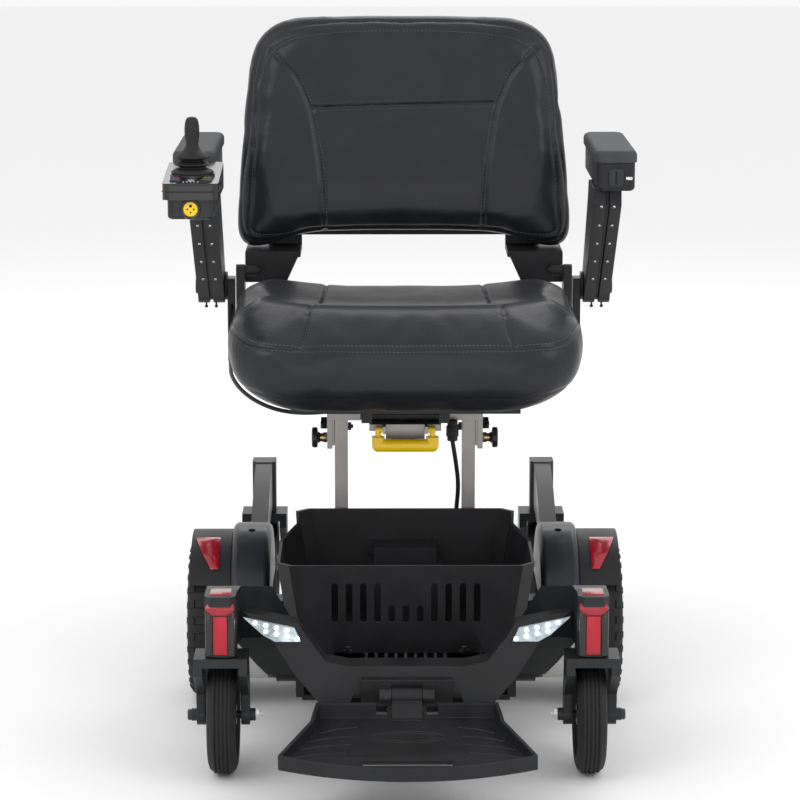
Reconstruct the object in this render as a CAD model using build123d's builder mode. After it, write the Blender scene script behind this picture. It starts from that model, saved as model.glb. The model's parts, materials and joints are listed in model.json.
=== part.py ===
from build123d import *
import os
from math import cos, pi, radians, sin

# Mid-wheel-drive power wheelchair, modelled on its wheels. Millimetres, +Z up, the floor at Z = 0.
# The seated user faces -Y, so the user's left is +X. Paired pieces are made for +X and mirrored.
# Y = 0 is the middle of the overall length.

# ---------------------------------------------------------------- driving dimensions
AXLE_Y = 38.0              # drive axle, along X
DRIVE_RADIUS = 110.0
DRIVE_TYRE_WIDTH = 58.0
DRIVE_X = 265.3            # middle of each drive tyre
DRIVE_RIM_RADIUS = 66.0
DRIVE_SHAFT_RADIUS = 10.0

CASTER_RADIUS = 75.0
CASTER_TYRE_WIDTH = 37.0
CASTER_HUB_RADIUS = 52.0
CASTER_TRAIL = 38.0
CASTER_AXLE_RADIUS = 5.0
STEM_RADIUS = 8.0
STEM_TOP = 229.0
FORK_GAP = 4.0             # tyre to fork leg
FORK_WALL = 11.0
FORK_CROWN = 12.0
FORK_TOP = 165.0
BARREL_BOTTOM = 166.0
BARREL_TOP = 243.0
FRONT_CASTER_X = 232.0
FRONT_SWIVEL_Y = -346.0
FRONT_BARREL = 39.0        # width and depth of the front barrels
REAR_CASTER_X = 208.0
REAR_SWIVEL_Y = 448.0
REAR_BARREL = 35.0
REAR_ARM_WIDTH = 24.0

RUN = 0.05                 # radial running clearance of every shaft
SEAT_GAP = 0.3             # clearance between pieces that lie on each other and move apart

RAIL_X = 108.0             # inner faces of the two frame rails
RAIL_WIDTH = 28.0
RAIL_BOTTOM = 62.0
RAIL_HEIGHT = 40.0
RAIL_WALL = 3.0
RAIL_FRONT = -190.0
RAIL_REAR = 332.0
TRAY_THICKNESS = 4.0
CROSS_TUBE = 30.0
BEAM_HEIGHT = 35.0
SPINE_WIDTH = 50.0
SPINE_HEIGHT = 24.0
SPINE_FRONT = -345.0
PIVOT_Y = -168.0           # front suspension pivots
PIVOT_Z = 96.0
PIVOT_RADIUS = 8.0
ARM_EYE_RADIUS = 18.0
ARM_EYE_WIDTH = 26.0

MOTOR_RADIUS = 31.0
MOTOR_LENGTH = 46.0
MOTOR_Y = -22.0
MOTOR_Z = 72.0
GEARBOX_X = 186.0          # inner faces of the gearboxes
GEARBOX_WIDTH = 43.0
GEARBOX_RADIUS = 38.0
COVER_RADIUS = 130.0
COVER_X = 182.0
COVER_BOTTOM = 152.0
COVER_WALL = 3.0
FENDER_GAP = 8.0
FENDER_WALL = 3.0
FENDER_WIDTH = 55.0
FENDER_FRONT_DEG = 145.0
FENDER_REAR_DEG = 38.0
TRIM_THICKNESS = 2.0

TUB_FRONT = -197.0
TUB_BACK = 16.0
TUB_BOTTOM = 120.0
TUB_FRONT_RIM = 240.0
TUB_BACK_RIM = 268.0
TUB_FRONT_WIDTH = 344.0
TUB_BACK_WIDTH = 296.0
TUB_WALL = 4.0
TUB_TAPER = 0.15
SLOT_PITCH = 18.5
SLOT_WIDTH = 8.5
SLOT_BOTTOM = 162.0
SLOT_TOP = 216.0
SHORT_SLOT_TOP = 186.0
HUMP_WIDTH = 100.0

BATTERY_LENGTH = 195.0
BATTERY_WIDTH = 128.0
BATTERY_HEIGHT = 120.0
BATTERY_GAP = 4.0
BATTERY_FRONT = 68.0
LID_WALL = 3.0
LID_WIDTH = 250.0
LID_FRONT_TOP = 206.0
LID_BACK_TOP = 193.0

SHROUD_WALL = 3.0
SHROUD_BOTTOM = 88.0
SHROUD_BACK = -297.0

HINGE_Y = -372.0           # footplate hinge
HINGE_Z = 117.0
HINGE_PIN_RADIUS = 5.0
KNUCKLE_RADIUS = 11.0
KNUCKLE_WIDTH = 38.0
KNUCKLE_EAR = 15.0
BRACKET_WIDTH = 114.0
BRACKET_FRONT = -357.0
PLATE_BACK = -392.0
PLATE_LENGTH = 170.0
PLATE_BACK_WIDTH = 226.0
PLATE_FRONT_WIDTH = 312.0
PLATE_WALL = 5.0
PLATE_SLOT_WIDTH = 108.0

POST_X = 86.5
POST_WIDTH = 17.5
POST_DEPTH = 38.0
POST_TOP = 390.0
POST_WALL = 2.5
INDEX_Z = 362.0
INDEX_PIN_RADIUS = 4.0
INDEX_CLEARANCE = 1.0
U_WIDTH = 211.0            # inverted-U seat bracket, outside
U_WALL = 7.0
U_TOP = 400.0
U_PLATE = 9.0
U_DEPTH = 56.0
CHANNEL_WIDTH = 96.0
CHANNEL_FRONT = -52.0
TURNTABLE_RADIUS = 62.0
TURNTABLE_THICKNESS = 7.0
TURNTABLE_PIN_RADIUS = 12.0
PLUNGER_KNOB_RADIUS = 14.0
PLUNGER_KNOB_WIDTH = 8.0
PLUNGER_BODY_WIDTH = 13.0
HANDLE_X = 36.0
HANDLE_Y = -64.0
HANDLE_Z = 372.0
HANDLE_RADIUS = 8.5
HANDLE_PIVOT_Z = 393.0
HANDLE_ROD_RADIUS = 4.0

SEAT_WIDTH = 464.0
SEAT_FRONT = -192.0
SEAT_BACK = 203.0
SEAT_BOTTOM = 433.0
SEAT_TOP = 545.0
BOLSTER_TOP = 562.0
BOLSTER_WIDTH = 62.0
PAN_THICKNESS = 5.0
PAN_WIDTH = 300.0
PAN_FRONT = -130.0
PAN_BACK = 246.0
UPRIGHT_X = 224.0          # inner faces of the rear uprights
UPRIGHT_WIDTH = 12.0

SLIDER_Y = 232.0           # armrest slider tubes and arm pivots
SLIDER_Z = 446.0
HUB_Z = 541.0
BRACE_X = 238.5            # inner faces of the sliders' uprights
SLIDER_SIZE = 22.0
SLIDER_INNER = 62.0
RECEIVER_WALL = 3.0
ARM_HUB_X = 253.0          # inner face of the arm hub
ARM_WIDTH = 37.0
ARM_CORE = 5.0
ARM_HUB_RADIUS = 24.0
ARM_PIN_RADIUS = 6.0
PAD_X = 280.5
PAD_WIDTH = 57.0
PAD_FRONT = -2.0
PAD_LENGTH = 255.0
PAD_BASE_BOTTOM = 703.0
PAD_BOTTOM = 741.0
PAD_TOP = 757.0

BACK_FOLD_Y = 214.0
BACK_FOLD_Z = 565.0
BACK_LUG_RADIUS = 8.0
BACK_PIN_RADIUS = 5.0
BACK_Y = 243.0             # front face of the backrest at its lower edge
BACK_Z = 600.0
BACK_LOW_WIDTH = 472.0
BACK_MIDDLE_WIDTH = 452.0
BACK_TOP_WIDTH = 300.0
BACK_HEIGHT = 318.0
BACK_THICKNESS = 48.0
BACK_SHELL = 8.0
BACK_RECLINE = 10.0
EAR_TOP_WIDTH = 78.0
EAR_LOW_WIDTH = 58.0
EAR_THICKNESS = 8.0
EAR_TOP = 590.5
EAR_BOTTOM = 547.0

CASE_X = -276.0            # joystick controller, on the user's right arm
CASE_WIDTH = 72.0
CASE_FRONT = -152.0
CASE_BACK = -8.0
CASE_BOTTOM = 711.0
CASE_TOP_FRONT = 732.0
CASE_TOP_BACK = 744.0
HOUSING_WIDTH = 60.0
HOUSING_BOTTOM = 685.0
STICK_Y = -97.0
STICK_PIVOT_Z = 731.0
STICK_RADIUS = 4.0
KNOB_BOTTOM = 780.0
KNOB_HEIGHT = 32.0
KNOB_RADIUS = 9.0
BOOT_RADIUS = 27.0
BOOT_TOP = 776.0
BUTTON_WIDTH = 14.0
BUTTON_LENGTH = 9.0
BUTTON_PITCH_Y = 12.0
BUTTON_X = 20.0
BUTTON_Y = -131.0
BUTTON_PROUD = 2.0
BUTTON_TRAVEL = 1.0
SOCKET_RADIUS = 11.0
SOCKET_Z = 698.5

LEAD_RADIUS = 2.75
LEAD_SETBACK = 5.4         # from the armrest slider to the lead's first point
CABLE_RADIUS = 3.0
CONNECTOR = (64.0, 1.0, 365.0)

SIDES = {"left": 1, "right": -1}

os.makedirs("parts", exist_ok=True)


# ---------------------------------------------------------------- helpers
def save(piece, name):
    """Label a finished piece and write it as its own file."""
    piece.part.label = name
    export_step(piece.part, f"parts/{name}.step")


def save_both(piece, name):
    """Write a piece as the left one, and its mirror image as the right one."""
    save(piece, f"{name}_left")
    with BuildPart() as twin:
        mirror(piece.part, about=Plane.YZ)
    save(twin, f"{name}_right")


def save_pair(piece, name):
    """Write a piece and its mirror image together, as the two solids of one node."""
    with BuildPart() as pair:
        add(piece.part)
        mirror(piece.part, about=Plane.YZ)
    save(pair, name)


def block(x, y, z, mode=Mode.ADD):
    """A box between two X, two Y and two Z values."""
    middle = ((x[0] + x[1]) / 2, (y[0] + y[1]) / 2, (z[0] + z[1]) / 2)
    with Locations(middle):
        Box(abs(x[1] - x[0]), abs(y[1] - y[0]), abs(z[1] - z[0]), mode=mode)


def rod_x(x, y, z, radius, mode=Mode.ADD):
    """A round bar along X, between two X values."""
    with Locations(Location(((x[0] + x[1]) / 2, y, z), (0, 90, 0))):
        Cylinder(radius, abs(x[1] - x[0]), mode=mode)


def rod_y(x, y, z, radius, mode=Mode.ADD):
    """A round bar along Y, between two Y values."""
    with Locations(Location((x, (y[0] + y[1]) / 2, z), (90, 0, 0))):
        Cylinder(radius, abs(y[1] - y[0]), mode=mode)


def rod_z(x, y, z, radius, mode=Mode.ADD):
    """A round bar along Z, between two Z values."""
    with Locations((x, y, (z[0] + z[1]) / 2)):
        Cylinder(radius, abs(z[1] - z[0]), mode=mode)


def tube(x, y, z, wall, along):
    """A rectangular tube, open at both ends, that runs along "x", "y" or "z"."""
    block(x, y, z)
    spans = {"x": x, "y": y, "z": z}
    bore = {}
    for axis, (low, high) in spans.items():
        trim = -1 if axis == along else wall
        bore[axis] = (low + trim, high - trim)
    block(bore["x"], bore["y"], bore["z"], mode=Mode.SUBTRACT)


def side_profile(points, x, mode=Mode.ADD):
    """A polygon of (Y, Z) points, extruded between two X values."""
    with BuildSketch(Plane.YZ.offset(min(x))) as outline:
        with BuildLine():
            Polyline(*points, close=True)
        make_face()
    extrude(outline.sketch, amount=abs(x[1] - x[0]), mode=mode)


def front_profile(points, y, mode=Mode.ADD):
    """A polygon of (X, Z) points, extruded between two Y values."""
    with BuildSketch(Plane.XZ.offset(-max(y))) as outline:
        with BuildLine():
            Polyline(*points, close=True)
        make_face()
    extrude(outline.sketch, amount=abs(y[1] - y[0]), mode=mode)


def plan_profile(points, z, mode=Mode.ADD):
    """A polygon of (X, Y) points, extruded between two Z values."""
    with BuildSketch(Plane.XY.offset(min(z))) as outline:
        with BuildLine():
            Polyline(*points, close=True)
        make_face()
    extrude(outline.sketch, amount=abs(z[1] - z[0]), mode=mode)


def mirrored(points):
    """The points, then their mirror images in reverse, which closes a symmetric outline."""
    return points + [(-x, y) for x, y in reversed(points)]


# ---------------------------------------------------------------- frame
RAIL_TOP = RAIL_BOTTOM + RAIL_HEIGHT
RAIL_OUT = RAIL_X + RAIL_WIDTH
POST_FRONT = AXLE_Y - POST_DEPTH / 2
POST_BACK = AXLE_Y + POST_DEPTH / 2
BEAM_TOP = RAIL_TOP + BEAM_HEIGHT
REAR_STUB = (96.0, 126.0)


def make_frame():
    """Rails, floor tray, cross tubes, front spine, beam for motors and posts, and pivot pins."""
    with BuildPart() as frame:
        for side in SIDES.values():
            rail = sorted((side * RAIL_X, side * RAIL_OUT))
            tube(rail, (RAIL_FRONT, RAIL_REAR), (RAIL_BOTTOM, RAIL_TOP), RAIL_WALL, "y")
            stub = sorted((side * RAIL_OUT, side * (REAR_CASTER_X - REAR_ARM_WIDTH / 2)))
            tube(stub, REAR_STUB, (RAIL_BOTTOM, RAIL_TOP), RAIL_WALL, "x")
            cheek = sorted((side * RAIL_OUT, side * (RAIL_OUT + 8)))
            block(cheek, (PIVOT_Y - 22, PIVOT_Y + 22), (RAIL_BOTTOM, PIVOT_Z + ARM_EYE_RADIUS))
            pin = sorted((side * (RAIL_OUT + 8), side * (RAIL_OUT + 12 + ARM_EYE_WIDTH)))
            rod_x(pin, PIVOT_Y, PIVOT_Z, PIVOT_RADIUS)
            cap = sorted((side * (RAIL_OUT + 9 + ARM_EYE_WIDTH), side * (RAIL_OUT + 13 + ARM_EYE_WIDTH)))
            rod_x(cap, PIVOT_Y, PIVOT_Z, PIVOT_RADIUS + 5)
            pad = sorted((side * (RAIL_X + 2), side * (RAIL_X + 14)))
            for pad_y in (TUB_FRONT + 28, TUB_BACK - 34):
                block(pad, (pad_y, pad_y + 16), (RAIL_TOP, TUB_BOTTOM))
        across = (-RAIL_X, RAIL_X)
        block((-RAIL_OUT, RAIL_OUT), (RAIL_FRONT, RAIL_REAR), (RAIL_BOTTOM - TRAY_THICKNESS, RAIL_BOTTOM))
        tube(across, (RAIL_FRONT, RAIL_FRONT + CROSS_TUBE), (RAIL_BOTTOM, RAIL_TOP), RAIL_WALL, "x")
        beam_y = (AXLE_Y - POST_DEPTH / 2, AXLE_Y + POST_DEPTH / 2)
        tube((-GEARBOX_X, GEARBOX_X), beam_y, (RAIL_TOP, BEAM_TOP), RAIL_WALL, "x")
        tube(
            (-SPINE_WIDTH / 2, SPINE_WIDTH / 2),
            (SPINE_FRONT, RAIL_FRONT),
            (RAIL_BOTTOM, RAIL_BOTTOM + SPINE_HEIGHT),
            RAIL_WALL,
            "y",
        )
    save(frame, "base_frame")


def make_batteries():
    """Two sealed batteries, one behind the other, with terminal posts."""
    with BuildPart() as packs:
        for row in range(2):
            front = BATTERY_FRONT + row * (BATTERY_WIDTH + BATTERY_GAP)
            back = front + BATTERY_WIDTH
            half = BATTERY_LENGTH / 2
            block((-half, half), (front, back), (RAIL_BOTTOM, RAIL_BOTTOM + BATTERY_HEIGHT))
            for side in SIDES.values():
                top = RAIL_BOTTOM + BATTERY_HEIGHT
                rod_z(side * (half - 22), front + 24, (top, top + 7), 7)
    save(packs, "battery_packs")


def make_power_module():
    """Motor power stage, a finned box on the tray under the tub."""
    with BuildPart() as module:
        block((-60, 60), (-150, -66), (RAIL_BOTTOM, RAIL_BOTTOM + 42))
        with Locations(*[(x, -108, RAIL_BOTTOM + 42 + 4) for x in range(-52, 53, 13)]):
            Box(4, 84, 8)
    save(module, "power_module")


def make_battery_lid():
    """Rear cover over the batteries, open below, standing on the rails."""
    half = LID_WIDTH / 2
    front = POST_BACK + 6
    back = BATTERY_FRONT + 2 * BATTERY_WIDTH + BATTERY_GAP + 8
    with BuildPart() as lid:
        side_profile(
            [(front, RAIL_TOP), (back, RAIL_TOP), (back, LID_BACK_TOP), (front, LID_FRONT_TOP)],
            (-half, half),
        )
        fillet(lid.edges().filter_by(Axis.Z), 14)
        fillet(lid.faces().sort_by(Axis.Z)[-1].edges(), 6)
        side_profile(
            [
                (front + LID_WALL, RAIL_TOP - 1),
                (back - LID_WALL, RAIL_TOP - 1),
                (back - LID_WALL, LID_BACK_TOP - LID_WALL),
                (front + LID_WALL, LID_FRONT_TOP - LID_WALL),
            ],
            (-half + LID_WALL + 4, half - LID_WALL - 4),
            mode=Mode.SUBTRACT,
        )
        for row in range(4):
            z = RAIL_TOP + 24 + row * 14
            block((-60, 60), (back - LID_WALL - 1, back + 1), (z, z + 6), mode=Mode.SUBTRACT)
    save(lid, "battery_cover")


# ---------------------------------------------------------------- drive
SHAFT_END = DRIVE_X + 14


def make_motors():
    """Drive motors along X, with an end bell and a cable gland."""
    with BuildPart() as motor:
        inner = GEARBOX_X - MOTOR_LENGTH
        rod_x((inner + 8, GEARBOX_X), MOTOR_Y, MOTOR_Z, MOTOR_RADIUS)
        rod_x((inner, inner + 8), MOTOR_Y, MOTOR_Z, MOTOR_RADIUS - 4)
        rod_z(inner + 26, MOTOR_Y, (MOTOR_Z + MOTOR_RADIUS - 2, MOTOR_Z + MOTOR_RADIUS + 8), 5)
    save_pair(motor, "drive_motors")


def make_gearboxes():
    """Cast gear cases from each motor to its drive axle, with the output shaft."""
    outer = GEARBOX_X + GEARBOX_WIDTH
    with BuildPart() as gearbox:
        rod_x((GEARBOX_X, outer), AXLE_Y, DRIVE_RADIUS, GEARBOX_RADIUS)
        side_profile(
            [
                (MOTOR_Y - 32, MOTOR_Z - 8),
                (MOTOR_Y - 32, MOTOR_Z + 46),
                (AXLE_Y, DRIVE_RADIUS + GEARBOX_RADIUS),
                (AXLE_Y, DRIVE_RADIUS - GEARBOX_RADIUS),
                (MOTOR_Y, MOTOR_Z - 32),
                (MOTOR_Y - 20, MOTOR_Z - 26),
            ],
            (GEARBOX_X, outer),
        )
        rod_x((outer, SHAFT_END), AXLE_Y, DRIVE_RADIUS, DRIVE_SHAFT_RADIUS)
        seat = (GEARBOX_X + 8, GEARBOX_X + 32)
        block(seat, (AXLE_Y - 12, AXLE_Y + 12), (DRIVE_RADIUS, COVER_BOTTOM))
    save_pair(gearbox, "gearboxes")


def make_motor_covers():
    """Domed covers over the gearboxes, open below."""
    outer = DRIVE_X - DRIVE_TYRE_WIDTH / 2 - 1.5
    with BuildPart() as cover:
        rod_x((COVER_X, outer), AXLE_Y, DRIVE_RADIUS, COVER_RADIUS)
        fillet(cover.edges().filter_by(GeomType.CIRCLE), 9)
        hollow = (COVER_X + COVER_WALL, outer - COVER_WALL)
        rod_x(hollow, AXLE_Y, DRIVE_RADIUS, COVER_RADIUS - COVER_WALL, Mode.SUBTRACT)
        low = DRIVE_RADIUS - COVER_RADIUS - 1
        block((COVER_X - 1, outer + 1), (AXLE_Y - 140, AXLE_Y + 140), (low, COVER_BOTTOM), mode=Mode.SUBTRACT)
        rod_z((COVER_X + outer) / 2, AXLE_Y - 24, (DRIVE_RADIUS + COVER_RADIUS - 10, 260), 5, Mode.SUBTRACT)
        boss = (GEARBOX_X + 12, GEARBOX_X + 28)
        block(boss, (AXLE_Y - 8, AXLE_Y + 8), (COVER_BOTTOM, DRIVE_RADIUS + COVER_RADIUS - 1))
    save_pair(cover, "motor_covers")


FENDER_IN = DRIVE_RADIUS + FENDER_GAP
FENDER_OUT = FENDER_IN + FENDER_WALL


def fender_sector(x, inner, outer, start, stop):
    """A ring sector about the drive axle, between two angles above the horizontal, at one height."""
    with BuildSketch(Plane.YZ.offset(x[0])) as sector:
        with BuildLine():
            first = CenterArc((AXLE_Y, DRIVE_RADIUS), outer, start, stop - start)
            second = CenterArc((AXLE_Y, DRIVE_RADIUS), inner, start, stop - start)
            Line(first @ 0, second @ 0)
            Line(first @ 1, second @ 1)
        make_face()
    extrude(sector.sketch, amount=x[1] - x[0])


def make_fenders():
    """Mudguards over the drive tyres, with a skirt on the outer side, carried by the motor covers."""
    inner = DRIVE_X - DRIVE_TYRE_WIDTH / 2 - 1.5
    outer = inner + FENDER_WIDTH
    with BuildPart() as fender:
        fender_sector((inner, outer), FENDER_IN, FENDER_OUT, FENDER_REAR_DEG, FENDER_FRONT_DEG)
    save_pair(fender, "fenders")
    with BuildPart() as trim:
        fender_sector((inner + 16, outer - 6), FENDER_OUT, FENDER_OUT + TRIM_THICKNESS, 104, 134)
    save_pair(trim, "fender_trims")


def make_drive_wheels():
    """Tyre and rim of each drive wheel, turned about the axle."""
    low = DRIVE_X - DRIVE_TYRE_WIDTH / 2
    high = DRIVE_X + DRIVE_TYRE_WIDTH / 2
    with BuildPart() as tyre:
        rod_x((low, high), AXLE_Y, DRIVE_RADIUS, DRIVE_RADIUS)
        fillet(tyre.edges().filter_by(GeomType.CIRCLE), 14)
        rod_x((low - 1, high + 1), AXLE_Y, DRIVE_RADIUS, DRIVE_RIM_RADIUS, Mode.SUBTRACT)
    save_both(tyre, "drive_tyre")
    with BuildPart() as rim:
        rod_x((low + 4, high - 4), AXLE_Y, DRIVE_RADIUS, DRIVE_RIM_RADIUS)
        rod_x((DRIVE_X + 6, high), AXLE_Y, DRIVE_RADIUS, DRIVE_RIM_RADIUS - 8, Mode.SUBTRACT)
        rod_x((low, DRIVE_X - 6), AXLE_Y, DRIVE_RADIUS, DRIVE_RIM_RADIUS - 8, Mode.SUBTRACT)
        rod_x((low + 4, SHAFT_END + 4), AXLE_Y, DRIVE_RADIUS, 20)
        rod_x((low, SHAFT_END + SEAT_GAP), AXLE_Y, DRIVE_RADIUS, DRIVE_SHAFT_RADIUS + RUN, Mode.SUBTRACT)
        with Locations(Plane.YZ.offset(DRIVE_X - 8)):
            with Locations((AXLE_Y, DRIVE_RADIUS)):
                with PolarLocations(38, 5):
                    Cylinder(9, 40, mode=Mode.SUBTRACT)
    save_both(rim, "drive_rim")


# ---------------------------------------------------------------- casters
def make_caster(end, x, swivel_y):
    """Fork and wheel of one pair of casters, trailing behind the swivel axis."""
    axle_y = swivel_y + CASTER_TRAIL
    leg_in = CASTER_TYRE_WIDTH / 2 + FORK_GAP
    leg_out = leg_in + FORK_WALL
    bore = CASTER_AXLE_RADIUS + RUN
    with BuildPart() as fork:
        for side in SIDES.values():
            leg = sorted((x + side * leg_in, x + side * leg_out))
            side_profile(
                [
                    (swivel_y - 25, FORK_TOP),
                    (swivel_y + 27, FORK_TOP),
                    (axle_y + 10, CASTER_RADIUS + 30),
                    (axle_y + 11, CASTER_RADIUS - 6),
                    (axle_y - 11, CASTER_RADIUS - 6),
                    (axle_y - 14, CASTER_RADIUS + 30),
                    (swivel_y - 25, FORK_TOP - 22),
                ],
                leg,
            )
            rod_x(leg, axle_y, CASTER_RADIUS, 13)
            nut = sorted((x + side * leg_out, x + side * (leg_out + 7)))
            rod_x(nut, axle_y, CASTER_RADIUS, 8)
        block(
            (x - leg_out, x + leg_out),
            (swivel_y - 25, swivel_y + 27),
            (FORK_TOP - FORK_CROWN, FORK_TOP),
        )
        rod_x((x - leg_out, x + leg_out), axle_y, CASTER_RADIUS, CASTER_AXLE_RADIUS)
        rod_z(x, swivel_y, (FORK_TOP, STEM_TOP), STEM_RADIUS)
    save_both(fork, f"{end}_fork")
    half = CASTER_TYRE_WIDTH / 2
    with BuildPart() as hub:
        rod_x((x - half + 1, x + half - 1), axle_y, CASTER_RADIUS, CASTER_HUB_RADIUS)
        for side in SIDES.values():
            dish = sorted((x + side * 6, x + side * half))
            rod_x(dish, axle_y, CASTER_RADIUS, CASTER_HUB_RADIUS - 7, Mode.SUBTRACT)
        rod_x((x - half - 2, x + half + 2), axle_y, CASTER_RADIUS, 14)
        rod_x((x - 40, x + 40), axle_y, CASTER_RADIUS, bore, Mode.SUBTRACT)
    with BuildPart() as wheel:
        rod_x((x - half, x + half), axle_y, CASTER_RADIUS, CASTER_RADIUS)
        fillet(wheel.edges().filter_by(GeomType.CIRCLE), 12)
        rod_x((x - half - 1, x + half + 1), axle_y, CASTER_RADIUS, CASTER_HUB_RADIUS + RUN, Mode.SUBTRACT)
    with BuildPart() as both:
        add(wheel.part)
        add(hub.part)
    save_both(both, f"{end}_caster_wheel")


def barrel(x, y, width, depth_front, depth_back):
    """A caster barrel with bevelled corners, bored for the fork's stem."""
    half = width / 2
    bevel = 7.0
    plan_profile(
        [
            (x - half, y + depth_back),
            (x - half, y - depth_front + bevel),
            (x - half + bevel, y - depth_front),
            (x + half - bevel, y - depth_front),
            (x + half, y - depth_front + bevel),
            (x + half, y + depth_back),
        ],
        (BARREL_BOTTOM, BARREL_TOP),
    )


def make_front_arms():
    """Suspension arms from the frame pivots out to the front caster barrels."""
    eye_x = (RAIL_OUT + 8 + SEAT_GAP, RAIL_OUT + 8 + SEAT_GAP + ARM_EYE_WIDTH - 0.6)
    x = FRONT_CASTER_X
    with BuildPart() as arm:
        plan_profile(
            [
                (eye_x[0], PIVOT_Y + ARM_EYE_RADIUS),
                (eye_x[1], PIVOT_Y + ARM_EYE_RADIUS),
                (eye_x[1], PIVOT_Y - ARM_EYE_RADIUS - 2),
                (196, -215),
                (240, -268),
                (x + FRONT_BARREL / 2, -300),
                (x + FRONT_BARREL / 2, -330),
                (x - FRONT_BARREL / 2, -330),
                (208, -290),
                (172, -252),
                (eye_x[0], -205),
            ],
            (BARREL_BOTTOM - 70, BARREL_TOP),
        )
        side_profile(
            [
                (PIVOT_Y, PIVOT_Z + ARM_EYE_RADIUS),
                (PIVOT_Y, PIVOT_Z - ARM_EYE_RADIUS),
                (-200, 96),
                (-248, 160),
                (-300, 172),
                (-340, 172),
                (-340, BARREL_TOP - 2),
                (-300, BARREL_TOP - 2),
                (-252, 228),
                (-212, 176),
                (-203, 126),
            ],
            (100, 300),
            mode=Mode.INTERSECT,
        )
        rod_x(eye_x, PIVOT_Y, PIVOT_Z, ARM_EYE_RADIUS)
        barrel(x, FRONT_SWIVEL_Y, FRONT_BARREL, 20, 20)
        rod_x((eye_x[0] - 1, eye_x[1] + 1), PIVOT_Y, PIVOT_Z, PIVOT_RADIUS + RUN, Mode.SUBTRACT)
        rod_z(x, FRONT_SWIVEL_Y, (BARREL_BOTTOM - 1, STEM_TOP + 1), STEM_RADIUS + RUN, Mode.SUBTRACT)
    save_both(arm, "front_arm")


def make_rear_arms():
    """Fixed arms from the frame stubs up and back to the rear caster barrels."""
    x = REAR_CASTER_X
    half = REAR_ARM_WIDTH / 2
    with BuildPart() as arm:
        side_profile(
            [
                (REAR_STUB[0], RAIL_BOTTOM),
                (REAR_STUB[1] + 10, RAIL_BOTTOM),
                (210, 120),
                (300, 172),
                (REAR_SWIVEL_Y, BARREL_BOTTOM + 8),
                (REAR_SWIVEL_Y, BARREL_TOP),
                (REAR_SWIVEL_Y - 48, BARREL_TOP - 4),
                (330, 224),
                (212, 176),
                (168, 145),
                (REAR_STUB[0], 130),
            ],
            (x - half, x + half),
        )
        barrel(x, REAR_SWIVEL_Y, REAR_BARREL, 20, 18)
        rod_z(x, REAR_SWIVEL_Y, (BARREL_BOTTOM - 1, STEM_TOP + 1), STEM_RADIUS + RUN, Mode.SUBTRACT)
    save_pair(arm, "rear_arms")


# ---------------------------------------------------------------- tub and front shroud
def tub_outline(inset, z):
    """The tub's plan outline at one height: a wide front part, a jog, and a narrower back."""
    taper = (TUB_BACK_RIM - z) * TUB_TAPER
    front = TUB_FRONT_WIDTH / 2 - taper - inset
    back = TUB_BACK_WIDTH / 2 - taper - inset
    lean = (TUB_BACK_RIM - z) * 0.10
    corner = 16.0
    points = [
        (front, TUB_FRONT + lean + inset + corner),
        (front, -58 - inset * 0.4),
        (back, -26 - inset * 0.4),
        (back, TUB_BACK - inset - corner),
        (back - corner, TUB_BACK - inset),
    ]
    first = [(front - corner, TUB_FRONT + lean + inset)]
    return mirrored(first + points)


def tub_loft(inset, low, high, mode=Mode.ADD):
    """Loft between the tub's outlines at two heights."""
    sections = []
    for z in (low, high):
        with BuildSketch(Plane.XY.offset(z)) as section:
            with BuildLine():
                Polyline(*tub_outline(inset, z), close=True)
            make_face()
        sections.append(section.sketch)
    loft(sections, ruled=True, mode=mode)


def make_tub():
    """Open bin in front of the seat posts, with drain slots and a raised dock inside."""
    high = TUB_BACK_RIM + 4
    ramp = [
        (TUB_FRONT - 20, TUB_FRONT_RIM),
        (-60, TUB_FRONT_RIM),
        (-4, TUB_BACK_RIM),
        (TUB_BACK + 20, TUB_BACK_RIM),
    ]
    above = ramp + [(TUB_BACK + 20, high + 20), (TUB_FRONT - 20, high + 20)]
    with BuildPart() as tub:
        tub_loft(0, TUB_BOTTOM, high)
        tub_loft(TUB_WALL, TUB_BOTTOM + TUB_WALL, high + 1, mode=Mode.SUBTRACT)
        hump = HUMP_WIDTH / 2
        block((-hump, hump), (-74, TUB_BACK - 2), (TUB_BOTTOM + 1, 206))
        block((-hump + 8, hump - 8), (-40, TUB_BACK - 2), (200, 226))
        side_profile(above, (-220, 220), mode=Mode.SUBTRACT)
        for index in range(-5, 6):
            x = index * SLOT_PITCH
            top = SHORT_SLOT_TOP if abs(index) <= 1 else SLOT_TOP
            radius = SLOT_WIDTH / 2
            low = SLOT_BOTTOM + radius
            wall = (TUB_FRONT - 6, TUB_FRONT + 24)
            block((x - radius, x + radius), wall, (low, top - radius), mode=Mode.SUBTRACT)
            rod_y(x, wall, low, radius, Mode.SUBTRACT)
            rod_y(x, wall, top - radius, radius, Mode.SUBTRACT)
    save(tub, "front_tub")


def shroud_outline(inset):
    """The shroud in front view: headlight pods at the top corners, a U between them, a neck below."""
    points = [
        (0, 146 - inset),
        (74, 146 - inset),
        (102, 152 - inset),
        (126, 182 - inset),
        (136 + inset, 199 - inset),
        (205 - 3 * inset, 213 - inset),
        (166 - inset, 173 + inset),
        (140 - inset, 135 + inset),
        (106 - inset, 97 + inset),
        (100 - inset, SHROUD_BOTTOM + inset),
    ]
    return points + [(-x, z) for x, z in reversed(points) if x > 0]


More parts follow.
